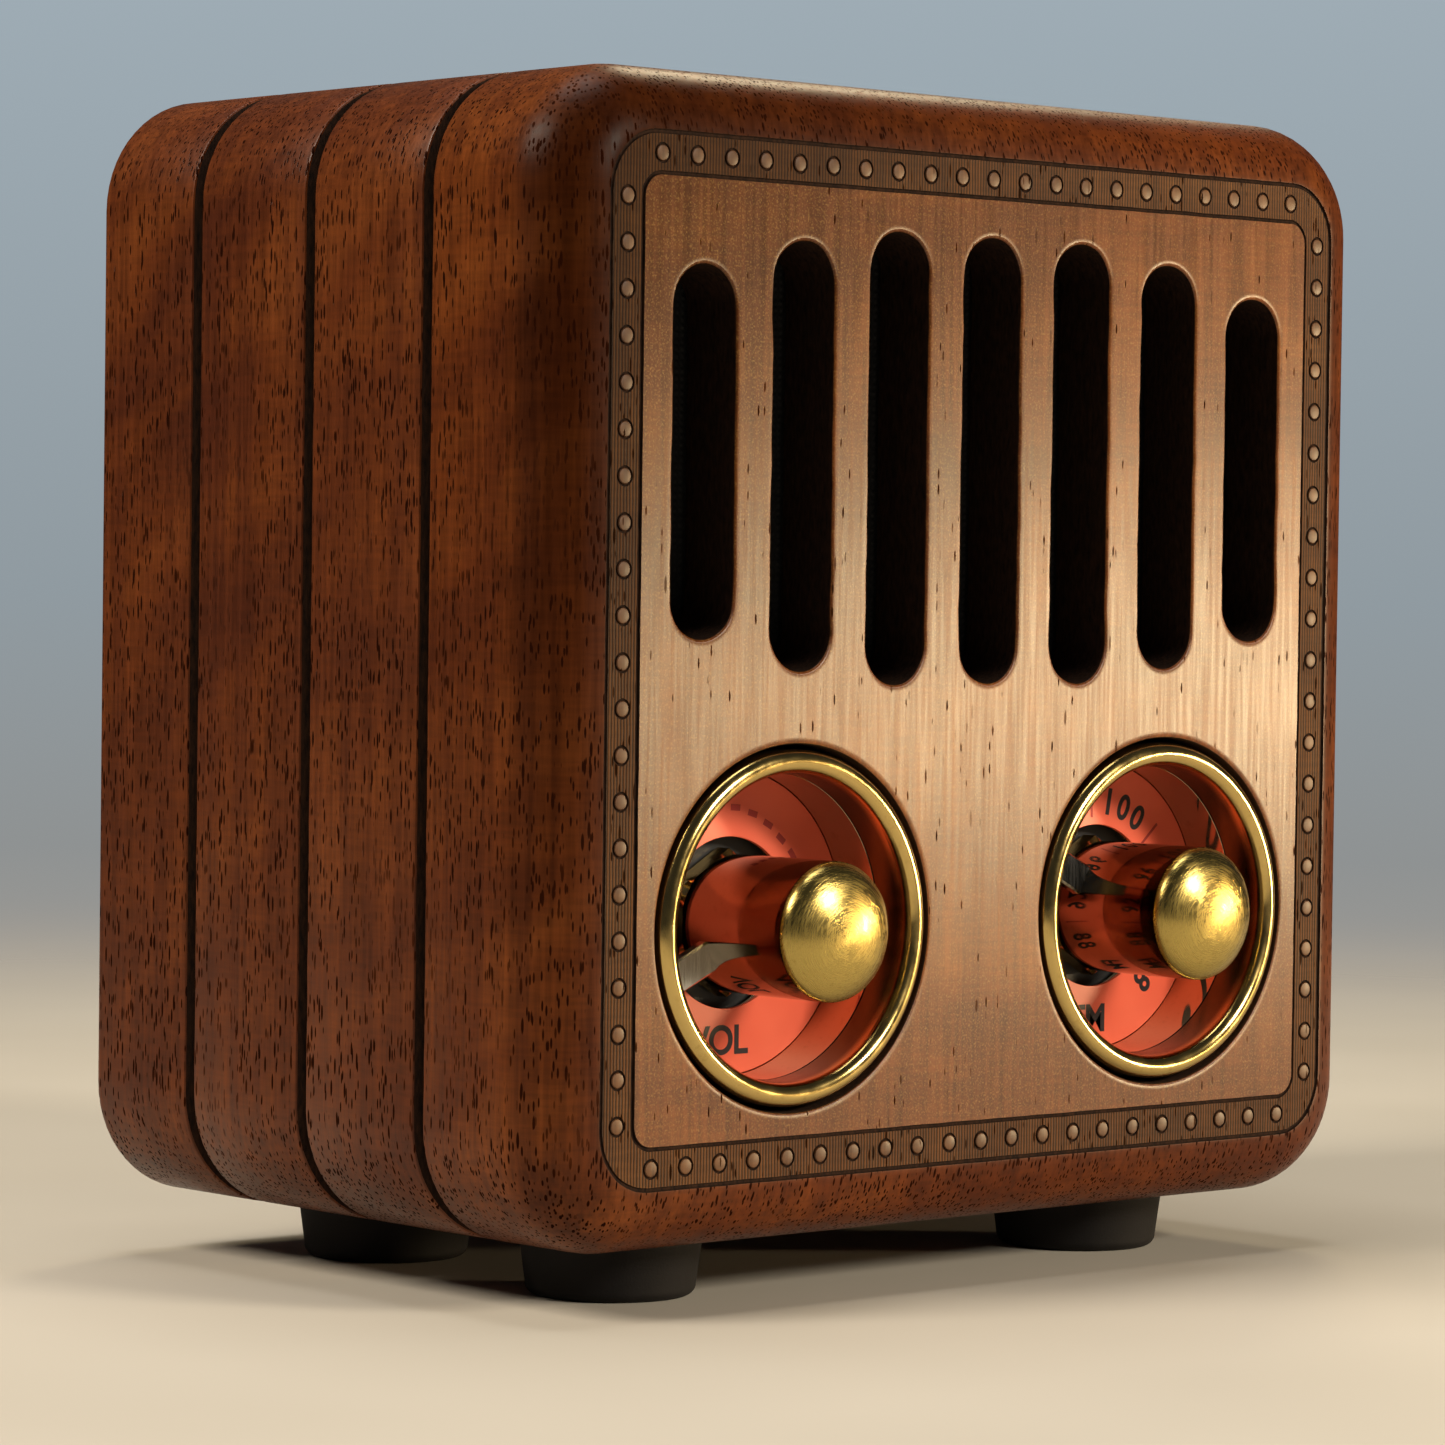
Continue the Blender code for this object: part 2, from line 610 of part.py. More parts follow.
def main():
    clear_scene()
    front_panel()
    case_rings()
    rear_cover()
    tie_screws()
    feet()
    plate("grille_cloth", 61.8, 35.0, 8.0, CLOTH, "cloth", (0, 13.4))
    dial("volume", -1, -155.0)
    dial("tuning", 1, 153.0)
    chassis_plate()
    speaker_basket()
    speaker_screws()
    speaker_surround()
    speaker_spider()
    speaker_cone(knob_axis("cone_axis", (0, SPEAKER_Z)))
    speaker_motor()
    electronics()
    battery()
    charging_socket()
    leads()


main()
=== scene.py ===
"""The looks of a miniature walnut radio: fine meshes, procedural materials, studio light and the camera."""
import json
import math

import bmesh
import bpy
from mathutils import Matrix, Vector, noise


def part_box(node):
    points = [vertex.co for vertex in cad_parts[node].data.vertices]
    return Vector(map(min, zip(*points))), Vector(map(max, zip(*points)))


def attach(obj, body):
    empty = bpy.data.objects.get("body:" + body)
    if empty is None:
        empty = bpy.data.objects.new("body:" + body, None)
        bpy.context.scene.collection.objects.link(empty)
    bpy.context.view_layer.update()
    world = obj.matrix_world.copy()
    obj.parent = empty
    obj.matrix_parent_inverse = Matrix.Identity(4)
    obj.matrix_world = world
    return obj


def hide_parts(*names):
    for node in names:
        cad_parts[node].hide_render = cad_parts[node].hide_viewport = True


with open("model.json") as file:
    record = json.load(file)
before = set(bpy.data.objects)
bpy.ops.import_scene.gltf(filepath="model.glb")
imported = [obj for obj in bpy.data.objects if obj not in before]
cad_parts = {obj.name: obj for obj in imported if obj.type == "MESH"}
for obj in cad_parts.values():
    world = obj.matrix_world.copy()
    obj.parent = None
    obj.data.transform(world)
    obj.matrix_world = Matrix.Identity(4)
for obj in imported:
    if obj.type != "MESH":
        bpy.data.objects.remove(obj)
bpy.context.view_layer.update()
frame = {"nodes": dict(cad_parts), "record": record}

noise.seed_set(7)
SLOTS = {row["node"]: row["material_slot"] for row in frame["record"]["subparts"]}
MM = 0.001
QUARTER = math.pi / 2

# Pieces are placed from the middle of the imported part's front face by (across, depth, up), in millimetres.
panel_low, panel_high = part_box("front_panel")
cover_low, cover_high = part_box("rear_cover")
FRONT = Vector((0.0, panel_low.y, (panel_low.z + panel_high.z) / 2))
CASE = (panel_high.x - panel_low.x) / MM
CASE_DEPTH = (cover_high.y - panel_low.y) / MM


def panel_place(node):
    """Middle of a CAD node as (across, up) from the middle of the front face, in millimetres."""
    low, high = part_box(node)
    middle = (low + high) / 2 - FRONT
    return round(middle.x / MM, 3), round(middle.z / MM, 3)


def depth_of(point):
    return (point.y - FRONT.y) / MM


# Sizes in millimetres that repeat the part's source. Depths are behind the front face.
CORNER = 8.3
FRONT_FILLET = 5.2
REAR_FILLET = 0.8
WALL = 5.0
INNER_FACE = CASE_DEPTH - WALL
SEAMS = (13.5, 26.4, 39.4)
GROOVE_HALF = 0.55
GROOVE_DEPTH = 1.0
SPIGOT_INSET = 3.2
SPIGOT_LENGTH = 1.6
REBATE_INSET = 2.9
REBATE_DEPTH = 2.0
SEAM_GAP = 0.15
SLOT_PITCH = 8.87
SLOT_WIDTH = 5.55
SLOT_ENDS = ((29.4, -1.6), (29.4, -1.6), (28.3, -0.6), (26.3, 1.4))
WELL_RADIUS = 12.46
TIE_SCREWS = [(across, up) for across in (-31.5, 31.5) for up in (-31.5, 31.5)]
BOSS_RADIUS = 2.6
BOSS_END = 8.0
PILOT_RADIUS = 1.55
PILOT_END = 2.0
HEAD_BORE = 2.7
HEAD_LEDGE = CASE_DEPTH - 1.9
SHANK_BORE = 1.6
SOCKET_HOLE = (10.0, 4.4, 2.1)  # width, height and corner radius
CUP_INNER = 10.5
CUP_OUTER = 11.2
CUP_RIM = 3.1
CUP_FLOOR = 7.4
CUP_BACK = 8.0
CUP_HOLE = 6.2
SLEEVE_END = 3.0
FLANGE_END = 1.6
CARD_INNER = 5.9
CARD_OUTER = 10.46
CARD_BACK = 7.1
VOLUME = panel_place("volume_bezel")
TUNING = panel_place("tuning_bezel")
SOCKET = panel_place("charging_socket")
CARD_FRONT = depth_of(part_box("volume_dial_card")[0])

# The marked border: two lines with a row of rivet heads between them.
OUTER_LINE = (34.85, 4.1)  # half width and corner radius
INNER_LINE = (32.15, 1.6)
LINE_HALF = 0.15
LINE_DEPTH = 0.16
RIVET_LINE = 33.45
RIVET_PITCH = 3.05
RIVETS = 21
RIVET_RADIUS = 0.53
RIVET_MOAT = 0.17
BAND_DEPTH = 0.07
HATCH_PITCH = 0.27

LIP = 0.22  # the eased edge of slots and wells
SEAM_LIP = 0.16
CORNER_STEPS = 14
SIDE_STEPS = 44  # points along each straight side of the case's outline

# Material slots of the wooden layers. The frames and the cover have only the first two.
WOOD, JOINT, MARK, BAND, RIVET, SIDE = range(6)


# Materials.


def set_stops(elements, stops):
    while len(elements) < len(stops):
        elements.new(0.5)
    for element, (position, colour) in zip(elements, stops):
        element.position = position
        element.color = (*colour, 1.0)


class Recipe:
    """Builds one material's node tree, a node at a time. Texture sizes are in millimetres."""

    def __init__(self, name, **values):
        self.material = bpy.data.materials.new(name)
        self.material.use_nodes = True
        self.tree = self.material.node_tree
        self.shader = self.tree.nodes["Principled BSDF"]
        self.object_space = self.tree.nodes.new("ShaderNodeTexCoord").outputs["Object"]
        for socket, value in values.items():
            self.set(socket.replace("_", " "), value)

    def set(self, socket, value):
        self.feed(self.shader.inputs[socket], value)

    def feed(self, socket, value):
        if isinstance(value, bpy.types.NodeSocket):
            self.tree.links.new(value, socket)
        elif isinstance(value, tuple) and len(value) == 3 and len(socket.default_value) == 4:
            socket.default_value = (*value, 1.0)
        else:
            socket.default_value = value

    def node(self, kind, inputs, **settings):
        made = self.tree.nodes.new("ShaderNode" + kind)
        for setting, value in settings.items():
            setattr(made, setting, value)
        for socket, value in inputs.items():
            self.feed(made.inputs[socket], value)
        return made

    def maths(self, operation, *values):
        return self.node("Math", dict(enumerate(values)), operation=operation).outputs[0]

    def vector(self, operation, *values):
        return self.node("VectorMath", dict(enumerate(values)), operation=operation).outputs[0]

    def length(self, source):
        return self.node("VectorMath", {0: source}, operation="LENGTH").outputs["Value"]

    def sized(self, size, turn=(0.0, 0.0, 0.0), source=None):
        """Object coordinates turned, then divided by a grain size in millimetres along each axis."""
        inputs = {"Vector": source or self.object_space, "Rotation": turn}
        scale = tuple(1.0 / (length * MM) for length in size)
        return self.vector("MULTIPLY", self.node("Mapping", inputs).outputs[0], scale)

    def noise(self, size, detail=2.0, rough=0.5, turn=(0.0, 0.0, 0.0), distortion=0.0, source=None):
        inputs = {"Vector": self.sized(size, turn, source), "Scale": 1.0, "Detail": detail}
        inputs.update({"Roughness": rough, "Distortion": distortion})
        return self.node("TexNoise", inputs).outputs["Fac"]

    def ramp(self, factor, *stops):
        """A colour ramp from (position, colour) stops."""
        made = self.node("ValToRGB", {"Fac": factor})
        set_stops(made.color_ramp.elements, stops)
        return made.outputs["Color"]

    def mix(self, factor, first, second):
        inputs = {"Factor": factor, 6: first, 7: second}
        return self.node("Mix", inputs, data_type="RGBA").outputs[2]

    def axes(self, source=None):
        return self.node("SeparateXYZ", {"Vector": source or self.object_space}).outputs

    def span(self, value, low, high, to_low=0.0, to_high=1.0):
        inputs = {"Value": value, "From Min": low, "From Max": high, "To Min": to_low, "To Max": to_high}
        return self.node("MapRange", inputs, interpolation_type="SMOOTHSTEP").outputs[0]

    def bump(self, height, distance_mm, strength):
        inputs = {"Height": height, "Distance": distance_mm * MM, "Strength": strength}
        return self.node("Bump", inputs).outputs["Normal"]


def wood_pores(recipe, size, share, offset=(0.0, 0.0, 0.0)):
    """Dark dashes along the grain: 1 inside a pore, 0 outside."""
    moved = recipe.vector("ADD", recipe.sized(size), offset)
    cells = recipe.node("TexVoronoi", {"Vector": moved, "Scale": 1.0})
    chance = recipe.node("SeparateColor", {"Color": cells.outputs["Color"]}).outputs["Red"]
    chosen = recipe.span(chance, 1.0 - share, 1.0 - share + 0.08)
    body = recipe.span(cells.outputs["Distance"], 0.34, 0.22)
    return recipe.maths("MULTIPLY", chosen, body)


def toned(colour, red, green=None, blue=None):
    """A colour with each channel multiplied by its share, or all of them by the first."""
    shares = (red, green or red, blue or red)
    return tuple(channel * share for channel, share in zip(colour, shares))


def walnut(name, tones, roughness, pore_share=0.9, sparkle=0.0, hatch=0.0, gloss=0.5, spread=0.0, scorch=0.0):
    """Walnut with its grain along Z. Tones are the dark, middle and light colours of the figure.

    Pore_share is how many pores show, sparkle the strength of bright specks painted into the colour as
    glints of the sheen, and hatch that of the burnt strokes. Spread sends the sheen sideways, across the
    fibres.
    Painted_shade darkens the wood near the front face, most at its top left corner, and lowers its gloss
    there:
    painted shade where less light falls.
    """
    dark, middle, light = tones
    deepest = toned(dark, 0.12)
    recipe = Recipe(name, Anisotropic=spread)
    if spread:
        around = recipe.tree.nodes.new("ShaderNodeTangent")
        around.direction_type = "RADIAL"
        around.axis = "Z"
        recipe.set("Tangent", around.outputs["Tangent"])
    figure = recipe.noise((30, 30, 8.5), 3.0, 0.5, turn=(math.radians(32), 0, 0), distortion=0.5)
    fibre = recipe.noise((0.42, 0.42, 11), 3.0, 0.6)
    streak = recipe.noise((1.9, 1.9, 40), 2.0, 0.5)
    ripple = recipe.noise((3.4, 3.4, 0.36), 2.0, 0.5)
    colour = recipe.ramp(figure, (0.30, dark), (0.50, middle), (0.70, light))
    colour = recipe.mix(recipe.span(streak, 0.35, 0.7, 0.0, 0.6), colour, dark)
    shade = recipe.span(fibre, 0.25, 0.75, 0.72, 1.22)
    shade = recipe.maths("ADD", shade, recipe.span(ripple, 0.3, 0.7, -0.11, 0.11))
    colour = recipe.node("VectorMath", {0: colour, "Scale": shade}, operation="SCALE").outputs[0]
    shine = 1.0
    # Painted shade: darker wood near the front face and towards its top left corner, where less light falls,
    # with less gloss there.
    if scorch:
        place = recipe.axes()
        near = recipe.maths("ADD", place["Y"], recipe.maths("MULTIPLY", figure, 4 * MM))
        near = recipe.span(near, 3.5 * MM, 9.0 * MM, 1.0, 0.0)
        corner = recipe.maths("SUBTRACT", place["X"], recipe.maths("MULTIPLY", place["Z"], 0.6))
        share = recipe.maths("MULTIPLY", near, recipe.span(corner, -82 * MM, 15 * MM, scorch, 0.0))
        colour = recipe.mix(share, colour, deepest)
        shine = recipe.span(share, 0.0, 1.0, 1.0, 0.15)
    # Painted glints: bright golden specks mixed into the colour stand in for glints of the sheen.
    if sparkle:
        grain = recipe.noise((0.16, 0.16, 0.16), 1.0, 0.5)
        cell = recipe.vector("FLOOR", recipe.sized((0.11, 0.11, 0.11)))
        speck = recipe.node("TexWhiteNoise", {"Vector": cell}).outputs["Value"]
        glint_mask = recipe.maths("MULTIPLY", recipe.span(grain, 0.35, 0.75), recipe.span(speck, 0.2, 1.0))
        colour = recipe.mix(recipe.maths("MULTIPLY", glint_mask, sparkle), colour, (0.46, 0.27, 0.08))
    fine = wood_pores(recipe, (0.28, 0.28, 1.3), pore_share)
    coarse = wood_pores(recipe, (0.40, 0.40, 2.0), pore_share * 0.5, (3.7, 1.3, 8.1))
    pores = recipe.maths("MAXIMUM", fine, coarse)
    patchy = recipe.span(recipe.noise((6, 6, 12), 2.0, 0.5), 0.3, 0.55, 0.45, 1.0)
    pores = recipe.maths("MULTIPLY", pores, patchy)
    colour = recipe.mix(pores, colour, toned(dark, 0.22))
    height = recipe.maths("MULTIPLY", fibre, 0.35)
    height = recipe.maths("SUBTRACT", height, recipe.maths("MULTIPLY", pores, 0.3))
    if hatch:
        inputs = {"Vector": recipe.sized((1.0, 1.0, 1.0)), "Scale": 1.0 / HATCH_PITCH / math.pi}
        inputs.update({"Distortion": 0.9, "Detail": 1.0, "Detail Scale": 0.6})
        lines = recipe.node("TexWave", inputs, bands_direction="X").outputs["Fac"]
        colour = recipe.mix(recipe.span(lines, 0.45, 0.1, 0.0, hatch), colour, deepest)
        height = recipe.maths("ADD", height, recipe.maths("MULTIPLY", lines, 0.9))
    recipe.set("Base Color", colour)
    gloss_left = recipe.span(pores, 0.0, 0.8, gloss, 0.02)
    recipe.set("Specular IOR Level", recipe.maths("MULTIPLY", gloss_left, shine))
    recipe.set("Normal", recipe.bump(height, 0.035, 0.8))
    dullness = recipe.span(pores, 0.0, 1.0, roughness, roughness + 0.3)
    recipe.set("Roughness", recipe.maths("ADD", dullness, recipe.span(fibre, 0.3, 0.7, -0.03, 0.04)))
    return recipe.material


def charred(name):
    """Wood burnt dark by the cutter: the walls of slots, wells and marked lines."""
    recipe = Recipe(name, Roughness=0.9, Specular_IOR_Level=0.15)
    soot = recipe.noise((0.25, 0.25, 0.9), 3.0, 0.6)
    recipe.set("Base Color", recipe.ramp(soot, (0.3, (0.006, 0.003, 0.002)), (0.75, (0.036, 0.015, 0.007))))
    recipe.set("Normal", recipe.bump(soot, 0.05, 0.7))
    return recipe.material


def turned_brass(name, colour, roughness, lathe=0.0, scratch=0.0, sunk=0.0):
    """Brass with its axis along Y: fine lathe rings, and curved scratches where it was brushed.

    Sunk paints shade: it darkens the part that goes down into the wood to near black, as painted shade in the
    well.
    """
    recipe = Recipe(name, Metallic=1.0)
    parts = recipe.axes()
    flat = recipe.node("CombineXYZ", {"X": parts["X"], "Z": parts["Z"]}).outputs[0]
    smudge = recipe.noise((1.7, 1.7, 1.7), 3.0, 0.6)
    height = recipe.maths("MULTIPLY", smudge, 0.06)
    wear = recipe.span(smudge, 0.35, 0.7, -0.03, 0.05)
    if lathe:
        along = recipe.node("CombineXYZ", {"X": recipe.length(flat), "Y": parts["Y"]}).outputs[0]
        rings = recipe.noise((0.05, 0.05, 1), 2.0, 0.7, source=along)
        height = recipe.maths("ADD", height, recipe.maths("MULTIPLY", rings, lathe))
    if scratch:
        for shift, size in (((0.0, 0.0, 0.0), (0.06, 0.9, 1)), ((0.0009, 0.0, 0.0006), (0.05, 0.6, 1))):
            moved = recipe.vector("ADD", flat, shift)
            around = recipe.axes(moved)
            turn = recipe.maths("MULTIPLY", recipe.maths("ARCTAN2", around["X"], around["Z"]), MM)
            track = recipe.node("CombineXYZ", {"X": recipe.length(moved), "Y": turn}).outputs[0]
            lines = recipe.noise(size, 1.5, 0.5, source=track)
            cut = recipe.span(lines, 0.45, 0.65)
            height = recipe.maths("ADD", height, recipe.maths("MULTIPLY", cut, scratch))
            wear = recipe.maths("ADD", wear, recipe.span(cut, 0.0, 1.0, -0.02, 0.04))
    spots = recipe.span(recipe.noise((0.5, 0.5, 0.5), 4.0, 0.7), 0.52, 0.75, 0.0, 0.4)
    coat = recipe.mix(spots, colour, toned(colour, 0.62, 0.55, 0.42))
    # Painted shade: near black from 0.2 mm behind the front face, where the piece goes down into the well.
    if sunk:
        coat = recipe.mix(recipe.span(parts["Y"], 0.2 * MM, 1.2 * MM, 0.0, sunk), coat, (0.03, 0.02, 0.008))
    recipe.set("Base Color", coat)
    recipe.set("Roughness", recipe.maths("ADD", wear, roughness))
    recipe.set("Normal", recipe.bump(height, 0.012, 0.6))
    return recipe.material


def plain_metal(name, colour, roughness, grain=(0.2, 0.2, 3.0)):
    """Metal with a brushed grain of the given size."""
    recipe = Recipe(name, Metallic=1.0)
    brushed = recipe.noise(grain, 3.0, 0.6)
    recipe.set("Base Color", recipe.ramp(brushed, (0.3, toned(colour, 0.8)), (0.7, colour)))
    recipe.set("Roughness", recipe.span(brushed, 0.3, 0.7, roughness, roughness + 0.12))
    recipe.set("Normal", recipe.bump(brushed, 0.01, 0.4))
    return recipe.material


def moulded(name, colour, roughness, grain=0.35, depth=0.02, gloss=0.5):
    """Plastic or rubber with a fine moulded grain."""
    recipe = Recipe(name, Specular_IOR_Level=gloss)
    pebble = recipe.noise((grain, grain, grain), 3.0, 0.6)
    scuff = recipe.noise((4, 4, 4), 3.0, 0.6)
    pale = tuple(min(1.0, channel * 1.7 + 0.004) for channel in colour)
    recipe.set("Base Color", recipe.ramp(scuff, (0.35, colour), (0.8, pale)))
    recipe.set("Roughness", recipe.span(scuff, 0.3, 0.7, roughness, roughness + 0.12))
    recipe.set("Normal", recipe.bump(pebble, depth, 0.6))
    return recipe.material


def woven(name, colour, pitch):
    """Cloth with crossing threads."""
    recipe = Recipe(name, Roughness=0.9)
    waves = []
    for direction in ("X", "Z"):
        inputs = {"Vector": recipe.sized((pitch, pitch, pitch)), "Scale": 1.0 / math.pi}
        waves.append(recipe.node("TexWave", inputs, bands_direction=direction).outputs["Fac"])
    weave = recipe.maths("MULTIPLY", *waves)
    recipe.set("Base Color", recipe.ramp(weave, (0.1, colour), (0.8, toned(colour, 2.2))))
    recipe.set("Normal", recipe.bump(weave, 0.12, 0.8))
    return recipe.material


def printed_card(name, colour):
    """Smooth card with a faint tooth and slightly cloudy ink."""
    recipe = Recipe(name, Roughness=0.42)
    tooth = recipe.noise((0.12, 0.12, 0.12), 2.0, 0.5)
    cloud = recipe.noise((5, 5, 5), 2.0, 0.5)
    recipe.set("Base Color", recipe.ramp(cloud, (0.3, toned(colour, 0.9, 0.78, 0.75)), (0.7, colour)))
    recipe.set("Normal", recipe.bump(tooth, 0.006, 0.5))
    return recipe.material


SIDE_TONES = ((0.062, 0.013, 0.003), (0.110, 0.025, 0.004), (0.155, 0.040, 0.007))
FRONT_TONES = ((0.090, 0.022, 0.003), (0.160, 0.042, 0.006), (0.225, 0.070, 0.011))
BAND_TONES = ((0.066, 0.022, 0.005), (0.110, 0.040, 0.010), (0.155, 0.062, 0.016))

LOOKS = {}


def make_look(recipe, name, *values, **settings):
    LOOKS[name] = recipe(name, *values, **settings)


# Painted shade darkens the front face, its edge, band and rivets near the front and towards the top left; the
# front face also gets painted glints.
make_look(walnut, "walnut_front", FRONT_TONES, 0.35, pore_share=0.1, sparkle=0.3, spread=0.85, scorch=0.75)
make_look(walnut, "walnut_side", SIDE_TONES, 0.36, gloss=0.28)
make_look(walnut, "walnut_edge", SIDE_TONES, 0.36, gloss=0.16, scorch=0.97)
make_look(walnut, "walnut_band", BAND_TONES, 0.45, pore_share=0.3, hatch=0.85, gloss=0.12, scorch=0.75)
make_look(walnut, "walnut_rivet", BAND_TONES, 0.40, pore_share=0.12, gloss=0.35, scorch=0.4)
make_look(charred, "charred")
# The ring's sunk part gets painted shade.
make_look(turned_brass, "brass_ring", (0.58, 0.42, 0.15), 0.18, lathe=0.3, sunk=0.85)
make_look(turned_brass, "brass_cup", (0.50, 0.36, 0.22), 0.05, lathe=0.01)
make_look(turned_brass, "knob_side", (0.23, 0.19, 0.14), 0.07, lathe=0.02)
make_look(turned_brass, "knob_dome", (0.46, 0.34, 0.10), 0.26, scratch=0.34)
make_look(turned_brass, "nut_brass", (0.78, 0.56, 0.22), 0.2, lathe=0.3)
make_look(turned_brass, "case_screw", (0.62, 0.46, 0.20), 0.3, lathe=0.4)
make_look(plain_metal, "pointer_chrome", (0.72, 0.71, 0.68), 0.12)
make_look(plain_metal, "steel", (0.48, 0.48, 0.49), 0.3)
make_look(plain_metal, "socket_shell", (0.62, 0.62, 0.62), 0.22)
make_look(plain_metal, "shield_can", (0.62, 0.62, 0.60), 0.28, (2.0, 0.3, 0.3))
make_look(plain_metal, "copper", (0.75, 0.34, 0.17), 0.3, (0.3, 0.08, 0.3))
make_look(plain_metal, "battery_foil", (0.60, 0.61, 0.63), 0.35, (1.2, 1.2, 1.2))
make_look(printed_card, "dial_card", (0.99, 0.165, 0.085))
make_look(moulded, "dial_ink", (0.012, 0.005, 0.006), 0.5, 0.1, 0.004)
make_look(moulded, "dial_ink_red", (0.40, 0.030, 0.022), 0.5, 0.1, 0.004)
make_look(moulded, "foot_rubber", (0.005, 0.004, 0.004), 0.7, 0.18, 0.02, gloss=0.2)
make_look(moulded, "black_plastic", (0.014, 0.014, 0.015), 0.45)
make_look(moulded, "surround_rubber", (0.015, 0.015, 0.016), 0.55)
make_look(moulded, "ferrite", (0.05, 0.05, 0.055), 0.55, 0.12, 0.03)
make_look(moulded, "cone_paper", (0.028, 0.028, 0.03), 0.85, 0.5, 0.08)
make_look(moulded, "board", (0.012, 0.10, 0.045), 0.3, 0.6, 0.02)
make_look(moulded, "lead_red", (0.42, 0.012, 0.012), 0.4, 0.5, 0.01)
make_look(moulded, "lead_black", (0.012, 0.012, 0.012), 0.4, 0.5, 0.01)
make_look(woven, "spider_cloth", (0.30, 0.17, 0.06), 0.4)
make_look(woven, "grille_cloth", (0.006, 0.006, 0.006), 0.5)


# Meshes.


def new_object(name, data):
    obj = bpy.data.objects.new(name, data)
    bpy.context.scene.collection.objects.link(obj)
    return obj


def finished_mesh(name, bm):
    """A mesh in metres from one in millimetres."""
    bmesh.ops.scale(bm, vec=(MM, MM, MM), verts=bm.verts)
    mesh = bpy.data.meshes.new(name)
    bm.to_mesh(mesh)
    bm.free()
    return mesh


def piece(name, bm, looks, replaced, place=(0.0, 0.0), smooth=38.0, depth=0.0, body="case"):
    """Puts a mesh in millimetres at a place (across, up) and depth, as a piece of its body."""
    bmesh.ops.recalc_face_normals(bm, faces=bm.faces)
    mesh = finished_mesh(name, bm)
    mesh.shade_smooth()
    mesh.set_sharp_from_angle(angle=math.radians(smooth))
    for look in looks:
        mesh.materials.append(LOOKS[look])
    obj = new_object(name, mesh)
    obj.location = FRONT + Vector((place[0], depth, place[1])) * MM
    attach(obj, body)
    if replaced:
        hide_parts(*replaced)
    return obj


def swing(bm, clock):
    """Turns a mesh about the depth axis by degrees, clockwise as seen from the front."""
    bmesh.ops.rotate(bm, verts=bm.verts, matrix=Matrix.Rotation(math.radians(clock), 3, "Y"))


def ring(bm, points, depth):
    return [bm.verts.new((across, depth, up)) for across, up in points]


def bridge(bm, first, second, look=0):
    """Faces between two closed loops of the same length."""
    count = len(first)
    for i in range(count):
        j = (i + 1) % count
        bm.faces.new((first[i], first[j], second[j], second[i])).material_index = look


def stack(bm, steps, looks=None):
    """Loops at each (outline, depth), joined in order with one look for each wall. Returns the loops."""
    loops = [ring(bm, outline, depth) for outline, depth in steps]
    for number, (first, second) in enumerate(zip(loops, loops[1:])):
        bridge(bm, first, second, looks[number] if looks else 0)
    return loops


def slab(bm, steps):
    """A solid between stacked outlines."""
    loops = stack(bm, steps)
    bm.faces.new(loops[0])
    bm.faces.new(loops[-1])


def fill(bm, loops, look=0):
    """A flat face bounded by the first loop, with the others as its holes."""
    edges = []
    for loop in loops:
        for first, second in zip(loop, loop[1:] + loop[:1]):
            edges.append(bm.edges.get((first, second)) or bm.edges.new((first, second)))
    made = bmesh.ops.triangle_fill(bm, use_beauty=True, edges=edges)
    for item in made["geom"]:
        if isinstance(item, bmesh.types.BMFace):
            item.material_index = look


def outline_about(middle, sides, radius_at):
    """A closed outline about the middle, from its radius at each angle."""
    points = []
    for side in range(sides):
        angle = side / sides * math.tau
        radius = radius_at(angle)
        points.append((middle[0] + radius * math.cos(angle), middle[1] + radius * math.sin(angle)))
    return points


def circle(radius, sides, middle=(0.0, 0.0)):
    return outline_about(middle, sides, lambda angle: radius)


def rounded(width, height, radius, steps=CORNER_STEPS, along=1, middle=(0.0, 0.0)):
    """A rectangle with round corners, anticlockwise. Each straight side is split into equal lengths."""
    points = []
    corners = []
    for quarter in range(4):
        side_x = 1 if quarter in (0, 3) else -1
        side_y = 1 if quarter in (0, 1) else -1
        corner = []
        for step in range(steps + 1):
            angle = (quarter + step / steps) * QUARTER
            across = side_x * (width / 2 - radius) + radius * math.cos(angle)
            up = side_y * (height / 2 - radius) + radius * math.sin(angle)
            corner.append((middle[0] + across, middle[1] + up))
        corners.append(corner)
    for corner, following in zip(corners, corners[1:] + corners[:1]):
        points += corner
        start, end = corner[-1], following[0]
        for step in range(1, along):
            share = step / along
            points.append((start[0] + (end[0] - start[0]) * share, start[1] + (end[1] - start[1]) * share))
    return points


def square(half, radius):
    return rounded(2 * half, 2 * half, radius, along=SIDE_STEPS)


def uneven(points, amount):
    """Moves points a little, as a line cut by hand wanders."""
    size = 0.9
    moved = []
    for across, up in points:
        drift = noise.noise_vector(Vector((across / size, up / size, 2.0)))
        moved.append((across + drift.x * amount, up + drift.z * amount))
    return moved


# The wooden case.


def quarter_round(radius, steps):
    """(inset, depth) points from the flat face to the side."""
    points = []
    for step in range(steps + 1):
        angle = step / steps * QUARTER
        points.append((radius - radius * math.sin(angle), radius - radius * math.cos(angle)))
    return points


def sweep(bm, sections, first=None, lips=()):
    """Joins the case's outline at each (inset, depth, look of the faces before it). Lips wander a little."""
    wander = 0.05
    before = first
    rings = []
    for number, (inset, depth, look) in enumerate(sections):
        verts = ring(bm, square(CASE / 2 - inset, max(CORNER - inset, 0.3)), depth)
        if number in lips:
            for vert in verts:
                vert.co.y += wander * noise.noise(vert.co * 0.9)
        if before:
            bridge(bm, before, verts, look)
        rings.append(verts)
        before = verts
    return rings


